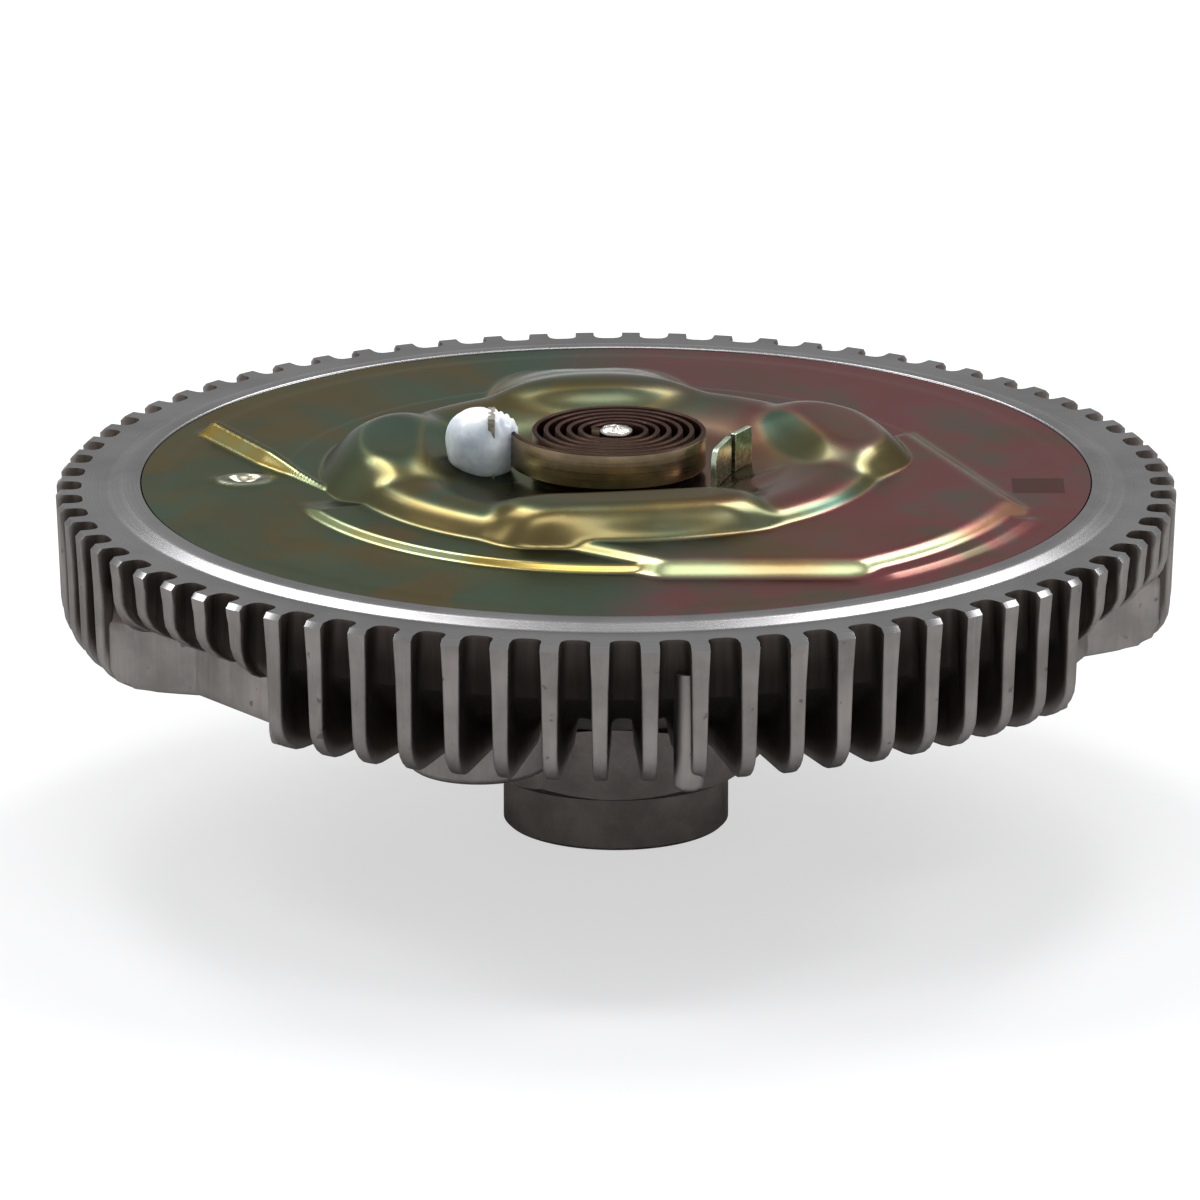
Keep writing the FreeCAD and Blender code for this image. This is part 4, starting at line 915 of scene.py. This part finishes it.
def beside(x, y, edge):
    """The distance to the right of a straight edge, given by its two ends in millimetres.

    It is the cross product of the way from the edge's start and the edge, divided by the
    edge's length.
    """
    start_x, start_y, end_x, end_y = (value * MM for value in edge)
    run, climb = end_x - start_x, end_y - start_y
    return ((x - start_x) * climb - (y - start_y) * run) / math.hypot(run, climb)


def arm_height(x, y):
    """The broad arm: a plateau inside an arc, its straight front edge and the side edges."""
    s = settings("clutch_cover")
    inside = smooth_min(s.arm_radius - np.hypot(x, y), s.arm_edge + y, 0.8 * MM)
    for edge in ARM_EDGES:
        inside = smooth_min(inside, beside(x, y, edge), 1 * MM)
    return plateau(inside + s.arm_slope, s.arm_rise, s.arm_slope, 0.9 * MM)


def step_height(x, y):
    """The low arc step round the ring's front left, fading in and out over its ends."""
    s = settings("clutch_cover")
    radius, turn = np.hypot(x, y), np.arctan2(y, x)
    start, start_fade, end, end_fade = (math.radians(value) for value in (-164.0, 9.0, -80.5, 2.0))
    fade_in = np.clip((turn - start) / start_fade, 0, 1)
    fade_out = np.clip((end - turn) / end_fade, 0, 1)
    height = plateau(s.step_radius - radius, s.step_rise, 1.6 * MM, 0.5 * MM)
    return np.where(height > 0, height * np.minimum(fade_in, fade_out), height)


def ledge_height(x, y):
    """The low ledge outside the arm's arc: a step that fades out at both its ends."""
    s = settings("clutch_cover")
    radius, turn = np.hypot(x, y), np.degrees(np.arctan2(y, x))
    start, start_fade, end, end_fade = -57.0, 5.0, -18.5, 3.0
    fade = np.clip((turn - start) / start_fade, 0, 1) * np.clip((end - turn) / end_fade, 0, 1)
    height = plateau(s.ledge_radius - radius, s.ledge_rise, 2.2 * MM, 0.5 * MM)
    return np.where(height > 0, height * fade, height)


def rib_height(x, y):
    """The straight bead: it falls off evenly with the distance from a tapering line."""
    s = settings("clutch_cover")
    ax, ay, bx, by = (value * MM for value in RIB_LINE)
    share = ((x - ax) * (bx - ax) + (y - ay) * (by - ay)) / ((bx - ax)**2 + (by - ay)**2)
    share = np.clip(share, 0, 1)
    away = np.hypot(x - ax - share * (bx - ax), y - ay - share * (by - ay))
    radius = s.rib_radius * np.interp(share, [0.0, 0.5, 0.75, 1.0], [1.3, 1.2, 0.6, 0.35])
    return np.minimum(1.1 * (radius - away), 0.75 * radius)


def cover_height(x, y):
    """The height of the cover's upper face over its flat: the greatest of all its forms.

    The eyelet adds a round rim and a pit: bell curves over the distance from its middle.
    """
    s = settings("clutch_cover")
    height = ring_height(np.hypot(x, y))
    for pad in PADS:
        height = smooth_max(height, pad_height(x, y, pad), 4.5 * MM)
    for form, blend in (
            (arm_height, 0.6), (step_height, 0.5), (ledge_height, 0.5), (rib_height, 0.6)):
        height = smooth_max(height, form(x, y), blend * MM)
    height = smooth_max(height, 0 * x, 0.4 * MM)
    away = np.hypot((x - EYELET[0]) / s.eyelet_across, (y - EYELET[1]) / s.eyelet_along)
    rim = 0.55 * MM * np.exp(-((away - 0.8) / 0.32)**2)
    pit = -0.8 * MM * np.exp(-(away / 0.45)**2)
    return height + rim + pit


class CLUTCH_OT_cover(bpy.types.Operator):
    """Build the stamped cover"""
    bl_idname = "clutch.cover"
    bl_label = "Cover"

    def execute(self, context):
        s = settings("clutch_cover")
        columns = 600
        dish, outer_flat = 24 * MM, 78 * MM     # between them the rings stand closer
        radii = np.concatenate([
            np.linspace(s.hole, dish, 12, endpoint=False),
            np.linspace(dish, outer_flat, 104, endpoint=False),
            np.linspace(outer_flat, s.radius, 8)])
        turn = np.linspace(0, 2 * math.pi, columns, endpoint=False)
        x, y = radii[:, None] * np.cos(turn), radii[:, None] * np.sin(turn)
        top = s.level + cover_height(x, y)
        pick = np.unique(np.linspace(0, len(radii) - 1, 32).astype(int))[::-1]
        under = top[pick] - s.sheet
        points = np.concatenate([
            np.stack([x, y, top], axis=-1),
            np.stack([x[pick], y[pick], under], axis=-1)]).reshape(-1, 3)
        faces = grid_faces(len(radii) + len(pick), columns, True, True)
        put_piece("cover_stamping", points, faces, 0, [chromate_finish()],
                  "housing", ["front_cover"], 50.0)
        return {"FINISHED"}


# The coil, the pin, the brackets and the sealant.

def close_ends(line):
    """A line of sections with one more at each end, drawn together in that end's middle."""
    first, last = (np.repeat(end.mean(axis=1, keepdims=True), line.shape[1], axis=1)
                   for end in (line[:1], line[-1:]))
    return np.concatenate([first, line, last])


def strip_centre(turns):
    """The strip's middle line: an even spiral that swings out over its last quarter turn.

    The radius is inner + pitch x turns + departure x (share of the last quarter)^2, and the
    angle falls by one turn for each turn.
    """
    s = settings("clutch_coil")
    leaving = np.maximum(0.0, turns - s.turns + 0.25) / 0.25
    radius = s.inner + s.pitch * turns + s.departure * leaving**2
    return radius, s.end_angle + 2 * math.pi * (s.turns - turns)


class CLUTCH_OT_coil(bpy.types.Operator):
    """Build the bimetal coil"""
    bl_idname = "clutch.coil"
    bl_label = "Coil"

    def execute(self, context):
        s = settings("clutch_coil")
        turns = np.linspace(0, s.turns, 560)
        radius, turn = strip_centre(turns)
        half, edge = s.thickness / 2, 0.2 * MM
        section = np.concatenate([
            arc((half - edge, edge), (edge, edge), -90, 0, 3),
            arc((half - edge, s.width - edge), (edge, edge), 0, 90, 3),
            arc((-half + edge, s.width - edge), (edge, edge), 90, 180, 3),
            arc((-half + edge, edge), (edge, edge), 180, 270, 3)])
        reach = radius[:, None] + section[:, 0]
        points = np.stack([
            reach * np.cos(turn)[:, None], reach * np.sin(turn)[:, None],
            s.level + section[:, 1] + 0 * reach], axis=-1)
        # a straight tab from the axis to the strip's inner end
        spot = turn[0]
        across = np.array([-math.sin(spot), math.cos(spot)])
        tab = np.zeros((2, len(section), 3))
        for number, distance in enumerate((0.2 * MM, s.inner)):
            tab[number, :, 0] = distance * math.cos(spot) + section[:, 0] * across[0]
            tab[number, :, 1] = distance * math.sin(spot) + section[:, 0] * across[1]
            tab[number, :, 2] = s.level + section[:, 1]
        parts = []
        for line in (points, tab):
            closed = close_ends(line)
            faces = grid_faces(len(closed), len(section), False, True)
            parts.append((closed.reshape(-1, 3), faces[:, ::-1], 0))
        points, faces = merge(parts)[:2]
        step, step_length = np.arange(len(points)) // len(section), 0.65 * MM
        uv = np.stack([step * step_length, points[:, 2] - s.level], axis=-1)
        # the section's upper and inner sides are dark, its outer side is brassy
        number = np.arange(len(faces)) % len(section)
        kinds = np.where((number >= 3) & (number <= 8), 1, 0)
        edge_metal = plain_metal("strip_edge", tint("strip_edge"), 0.3, 0.42)
        put_piece("coil_strip", points, faces, kinds, [strip_finish(), edge_metal],
                  "housing", ["bimetal_coil"], 50.0, uv)
        return {"FINISHED"}


class CLUTCH_OT_pin(bpy.types.Operator):
    """Build the valve pin with its staked head"""
    bl_idname = "clutch.pin"
    bl_label = "Valve pin"

    def execute(self, context):
        s = settings("clutch_coil")
        radius, low, high = s.pin_radius, s.pin_low, s.pin_high
        bevel, rim, dome = 0.3 * MM, 0.6 * MM, 0.8 * MM
        neck = high - 1.2 * MM
        profile = np.concatenate([
            np.array([[POLE, low], [radius - bevel, low], [radius, low + bevel],
                      [radius, neck]]),
            arc((radius - rim, neck), (rim, 0.7 * MM), 0, 80, 5),
            arc((0.0, high - dome), (0.72 * radius, dome), 40, 89, 6)])
        points, faces = lathe(profile, 72)
        turn, reach = np.arctan2(points[:, 1], points[:, 0]), np.hypot(*points[:, :2].T)
        # staking dents: two waves round the head, cut off above and fading at the middle
        head = np.clip((points[:, 2] - (high - 1.3 * MM)) / (0.8 * MM), 0, 1)
        dents = (0.22 * np.cos(3 * turn + 0.6) + 0.14 * np.cos(5 * turn + 2.0)) * MM
        points[:, 2] += head * np.minimum(dents, 0.0) * np.clip(reach / (1 * MM), 0, 1)
        metal = plain_metal("pin_steel", tint("pin"), 0.12, 0.3, 0.08 * MM)
        put_piece("valve_pin", points, faces, 0, [metal],
                  "valve", ["control_shaft"], 50.0)
        return {"FINISHED"}


def bent_sheet(path, low, high, gauge, corner=0.0):
    """An upright strip of sheet along a path in plan, between two heights.

    Each point of the path gives two corners, half the gauge to either side of it. The upper
    corner at the path's start may be rounded: the top drops there along a quarter circle.
    """
    path = np.asarray(path)
    along = np.gradient(path, axis=0)
    along /= np.linalg.norm(along, axis=-1, keepdims=True)
    side = np.stack([-along[:, 1], along[:, 0]], axis=-1) * gauge / 2
    share = np.linspace(0, 1, len(path))
    span = np.linalg.norm(path[-1] - path[0])
    drop = corner - np.sqrt(np.maximum(corner**2 - np.maximum(corner - share * span, 0)**2, 0))
    top = high - drop if corner else high + 0 * share
    left, right = path + side, path - side
    ring = np.stack([
        np.column_stack([left, low + 0 * share]), np.column_stack([right, low + 0 * share]),
        np.column_stack([right, top]), np.column_stack([left, top])], axis=1)
    ring = close_ends(ring)
    faces = grid_faces(len(ring), 4, False, True)
    return ring.reshape(-1, 3), faces, 0


class CLUTCH_OT_brackets(bpy.types.Operator):
    """Build the anchor bracket and the stop bracket"""
    bl_idname = "clutch.brackets"
    bl_label = "Brackets"

    def execute(self, context):
        s = settings("clutch_coil")
        metal = plain_metal("green_passivate", tint("bracket"), 0.16, 0.3)
        near, bend, far = np.array(((17.3, -11.5), (20.5, -1.4), (23.8, 4.6))) * MM
        gap = (far - bend) / np.linalg.norm(far - bend) * 0.8 * MM
        low, high = s.dish_level, s.dish_level + s.stop_height
        parts = [
            bent_sheet(straight(near, bend - gap, 14), low, high, s.stop_gauge, 2 * MM),
            bent_sheet(straight(bend + gap, far, 8), low, high, s.stop_gauge)]
        points, faces, kinds = merge(parts)
        piece = put_piece("stop_legs", points, faces, kinds, [metal],
                          "housing", ["stop_bracket"])
        bevel = piece.modifiers.new("edges", "BEVEL")
        bevel.width = 0.15 * MM
        bevel.segments = 2
        near = -s.anchor_distance - s.anchor_gauge / 2
        half = s.anchor_width / 2
        path = straight((near, -half), (near, half), 16)
        points, faces, kinds = bent_sheet(path, low, low + s.anchor_height, s.anchor_gauge)
        anchor = plain_metal("anchor_steel", (0.62, 0.58, 0.5), 0.2, 0.4, 0.2 * MM)
        put_piece("anchor_upright", points, faces, kinds, [anchor],
                  "housing", ["anchor_bracket"])
        return {"FINISHED"}


class CLUTCH_OT_sealant(bpy.types.Operator):
    """Build the silicone on the coil's outer end: a lumpy superellipsoid"""
    bl_idname = "clutch.sealant"
    bl_label = "Sealant"

    def execute(self, context):
        s = settings("clutch_coil")
        rows, columns = 60, 90
        rise = np.linspace(-math.pi / 2, math.pi / 2, rows)[:, None]
        turn = np.linspace(0, 2 * math.pi, columns, endpoint=False)
        swell = 1 + 0.05 * np.sin(3 * turn + 2 * rise) + 0.03 * np.sin(5 * turn - 3 * rise + 1)
        swell = swell * (0.90 + 0.10 * np.sin(rise)) * np.maximum(np.cos(rise), 0)**0.62
        x = s.potting_length * np.cos(turn) * swell
        y = s.potting_width * np.sin(turn) * swell
        z = s.potting_height * np.sin(rise) + 0 * turn
        # torn crumbs on the upper side towards the coil, and a flat where it meets the strip
        crumbs = np.clip(x / (2 * MM), 0, 1) * np.clip(z / (4 * MM), 0, 1)
        z = z - 0.5 * MM * crumbs * (1 + np.sin(2900 * x + 1) * np.sin(2300 * y))
        x = np.minimum(x, 6.4 * MM)
        x, y = x - s.potting_distance, y + s.potting_along
        sunk = s.dish_level - 0.4 * MM
        z = np.maximum(z + s.dish_level + s.potting_rise, sunk)
        points = np.stack([x, y, z], axis=-1).reshape(-1, 3)
        faces = grid_faces(rows, columns, False, True)
        put_piece("sealant", points, faces, 0, [silicone_finish()],
                  "housing", ["silicone_potting"], 80.0)
        return {"FINISHED"}


class CLUTCH_OT_finishes(bpy.types.Operator):
    """Give the carried-over pieces their finishes"""
    bl_idname = "clutch.finishes"
    bl_label = "Finishes"

    def execute(self, context):
        hub = plain_metal("hub_steel", tint("hub"), 0.42, 0.56, 0.04 * MM, 1400.0)
        steel = plain_metal("plain_steel", (0.42, 0.42, 0.42), 0.25, 0.4)
        brass = plain_metal("brass", (0.55, 0.42, 0.18), 0.25, 0.4)
        aluminium, rubber = cast_finish(), rubber_finish()
        chosen = {"hub_steel": hub, "brass": brass, "rubber": rubber, "cast_aluminium": aluminium}
        slots = {row["node"]: row["material_slot"] for row in frame["record"]["subparts"]}
        for name, node in frame["nodes"].items():
            material = chosen.get(slots[name], steel)
            for slot in node.material_slots:
                slot.material = material
        return {"FINISHED"}


# The stage.

LAMPS = (
    # name, place, width and height in metres, and power in watts
    ("top_box", (0.0, 0.12, 1.25), 0.55, 0.25, 3.2),
    ("back_left_box", (-0.43, 0.92, 1.15), 0.32, 0.62, 7.0),
    ("back_right_box", (0.43, 0.92, 1.15), 0.32, 0.62, 7.0),
    ("left_box", (-0.9, 0.3, 0.92), 0.28, 0.4, 3.8),
    ("right_box", (0.9, 0.3, 0.92), 0.28, 0.4, 3.8),
)
LAMP_TARGET = (0.0, 0.0, 0.05)


def area_lamp(name, place, width, height, power):
    """A rectangular soft box that looks at the clutch."""
    data = bpy.data.lights.new(name, "AREA")
    data.shape = "RECTANGLE"
    data.size = width
    data.size_y = height
    data.energy = power
    lamp = bpy.data.objects.new(name, data)
    lamp.location = place
    aim = Vector(LAMP_TARGET) - Vector(place)
    lamp.rotation_euler = aim.to_track_quat("-Z", "Y").to_euler()
    bpy.context.scene.collection.objects.link(lamp)


def white_to_view(tree, plain, bright):
    """Choose the bright shader for rays from the camera, mirrors and glass."""
    path = tree.nodes.new("ShaderNodeLightPath")
    seen = tree.nodes.new("ShaderNodeMath")
    seen.operation = "MAXIMUM"
    tree.links.new(path.outputs["Is Camera Ray"], seen.inputs[0])
    more = tree.nodes.new("ShaderNodeMath")
    more.operation = "MAXIMUM"
    tree.links.new(path.outputs["Is Glossy Ray"], more.inputs[0])
    tree.links.new(path.outputs["Is Transmission Ray"], more.inputs[1])
    tree.links.new(more.outputs[0], seen.inputs[1])
    mix = tree.nodes.new("ShaderNodeMixShader")
    tree.links.new(seen.outputs[0], mix.inputs[0])
    tree.links.new(plain, mix.inputs[1])
    tree.links.new(bright, mix.inputs[2])
    return mix.outputs[0]


class CLUTCH_OT_stage(bpy.types.Operator):
    """Set up the camera, the lamps, the floor and the background"""
    bl_idname = "clutch.stage"
    bl_label = "Stage"

    def execute(self, context):
        s = settings("clutch_stage")
        scene = context.scene
        rim = Vector((0, 0, settings("clutch_housing").rim_level))
        back = Vector((0, -math.cos(s.elevation), math.sin(s.elevation)))
        up = Vector((0, math.sin(s.elevation), math.cos(s.elevation)))
        data = bpy.data.cameras.new("camera")
        data.lens = s.lens
        data.sensor_width = 36.0
        data.clip_end = 20.0
        camera = bpy.data.objects.new("camera", data)
        camera.location = rim + back * s.distance
        aim = rim + Vector((s.aim_across, 0, 0)) + up * s.aim_up
        camera.rotation_euler = (aim - camera.location).to_track_quat("-Z", "Y").to_euler()
        scene.collection.objects.link(camera)
        scene.camera = camera
        scene.view_settings.view_transform = "Standard"

        world = bpy.data.worlds.new("studio")
        scene.world = world
        world.use_nodes = True
        tree = world.node_tree
        plain = tree.nodes["Background"]
        plain.inputs["Color"].default_value = (0.9, 0.93, 1.0, 1.0)
        plain.inputs["Strength"].default_value = 0.55
        bright = tree.nodes.new("ShaderNodeBackground")
        bright.inputs["Strength"].default_value = 1.0
        shown = white_to_view(tree, plain.outputs[0], bright.outputs[0])
        tree.links.new(shown, tree.nodes["World Output"].inputs["Surface"])

        mesh = bpy.data.meshes.new("floor")
        corners = [(x, y, FLOOR_LEVEL) for x, y in ((-3, -3), (3, -3), (3, 3), (-3, 3))]
        mesh.from_pydata(corners, [], [(0, 1, 2, 3)])
        floor = bpy.data.objects.new("floor", mesh)
        scene.collection.objects.link(floor)
        n = Nodes("pale_floor")
        n.surface(Base_Color=tuple(s.floor), Roughness=0.7, Specular_IOR_Level=0.1)
        seen = n.add("ShaderNodeLightPath").outputs["Is Camera Ray"]
        white = n.add("ShaderNodeEmission", {"Color": (1.0, 1.0, 1.0), "Strength": 1.0})
        blend = n.add("ShaderNodeMixShader", {
            0: n.maths("MULTIPLY", seen, 0.6), 1: n.shader.outputs[0], 2: white.outputs[0]})
        n.tree.links.new(blend.outputs[0], n.tree.nodes["Material Output"].inputs["Surface"])
        mesh.materials.append(n.material)

        for lamp in LAMPS:
            area_lamp(*lamp)
        return {"FINISHED"}


class CLUTCH_PT_panel(bpy.types.Panel):
    """The fan clutch's sizes and steps"""
    bl_idname = "CLUTCH_PT_panel"
    bl_label = "Fan clutch"
    bl_space_type = "VIEW_3D"
    bl_region_type = "UI"
    bl_category = "Fan clutch"

    def draw(self, context):
        for group in GROUPS:
            box = self.layout.box()
            owner = getattr(context.scene, group)
            for name in owner.__annotations__:
                box.prop(owner, name)
        for operator in OPERATORS:
            self.layout.operator(operator.bl_idname)


GROUPS = {
    "clutch_housing": HousingSettings,
    "clutch_cover": CoverSettings,
    "clutch_coil": CoilSettings,
    "clutch_finish": FinishSettings,
    "clutch_stage": StageSettings,
}
OPERATORS = (
    CLUTCH_OT_stage, CLUTCH_OT_housing, CLUTCH_OT_cover, CLUTCH_OT_coil, CLUTCH_OT_pin,
    CLUTCH_OT_brackets, CLUTCH_OT_sealant, CLUTCH_OT_finishes,
)


def register():
    """Register the settings, the operators and the panel."""
    for name, group in GROUPS.items():
        bpy.utils.register_class(group)
        setattr(bpy.types.Scene, name, bpy.props.PointerProperty(type=group))
    for operator in (*OPERATORS, CLUTCH_PT_panel):
        bpy.utils.register_class(operator)


def unregister():
    """Take all of it out again."""
    for operator in (CLUTCH_PT_panel, *reversed(OPERATORS)):
        bpy.utils.unregister_class(operator)
    for name, group in GROUPS.items():
        delattr(bpy.types.Scene, name)
        bpy.utils.unregister_class(group)


def main():
    """Build every piece in order."""
    register()
    bpy.ops.clutch.stage()
    bpy.ops.clutch.housing()
    bpy.ops.clutch.cover()
    bpy.ops.clutch.coil()
    bpy.ops.clutch.pin()
    bpy.ops.clutch.brackets()
    bpy.ops.clutch.sealant()
    bpy.ops.clutch.finishes()


if __name__ == "__main__":
    main()
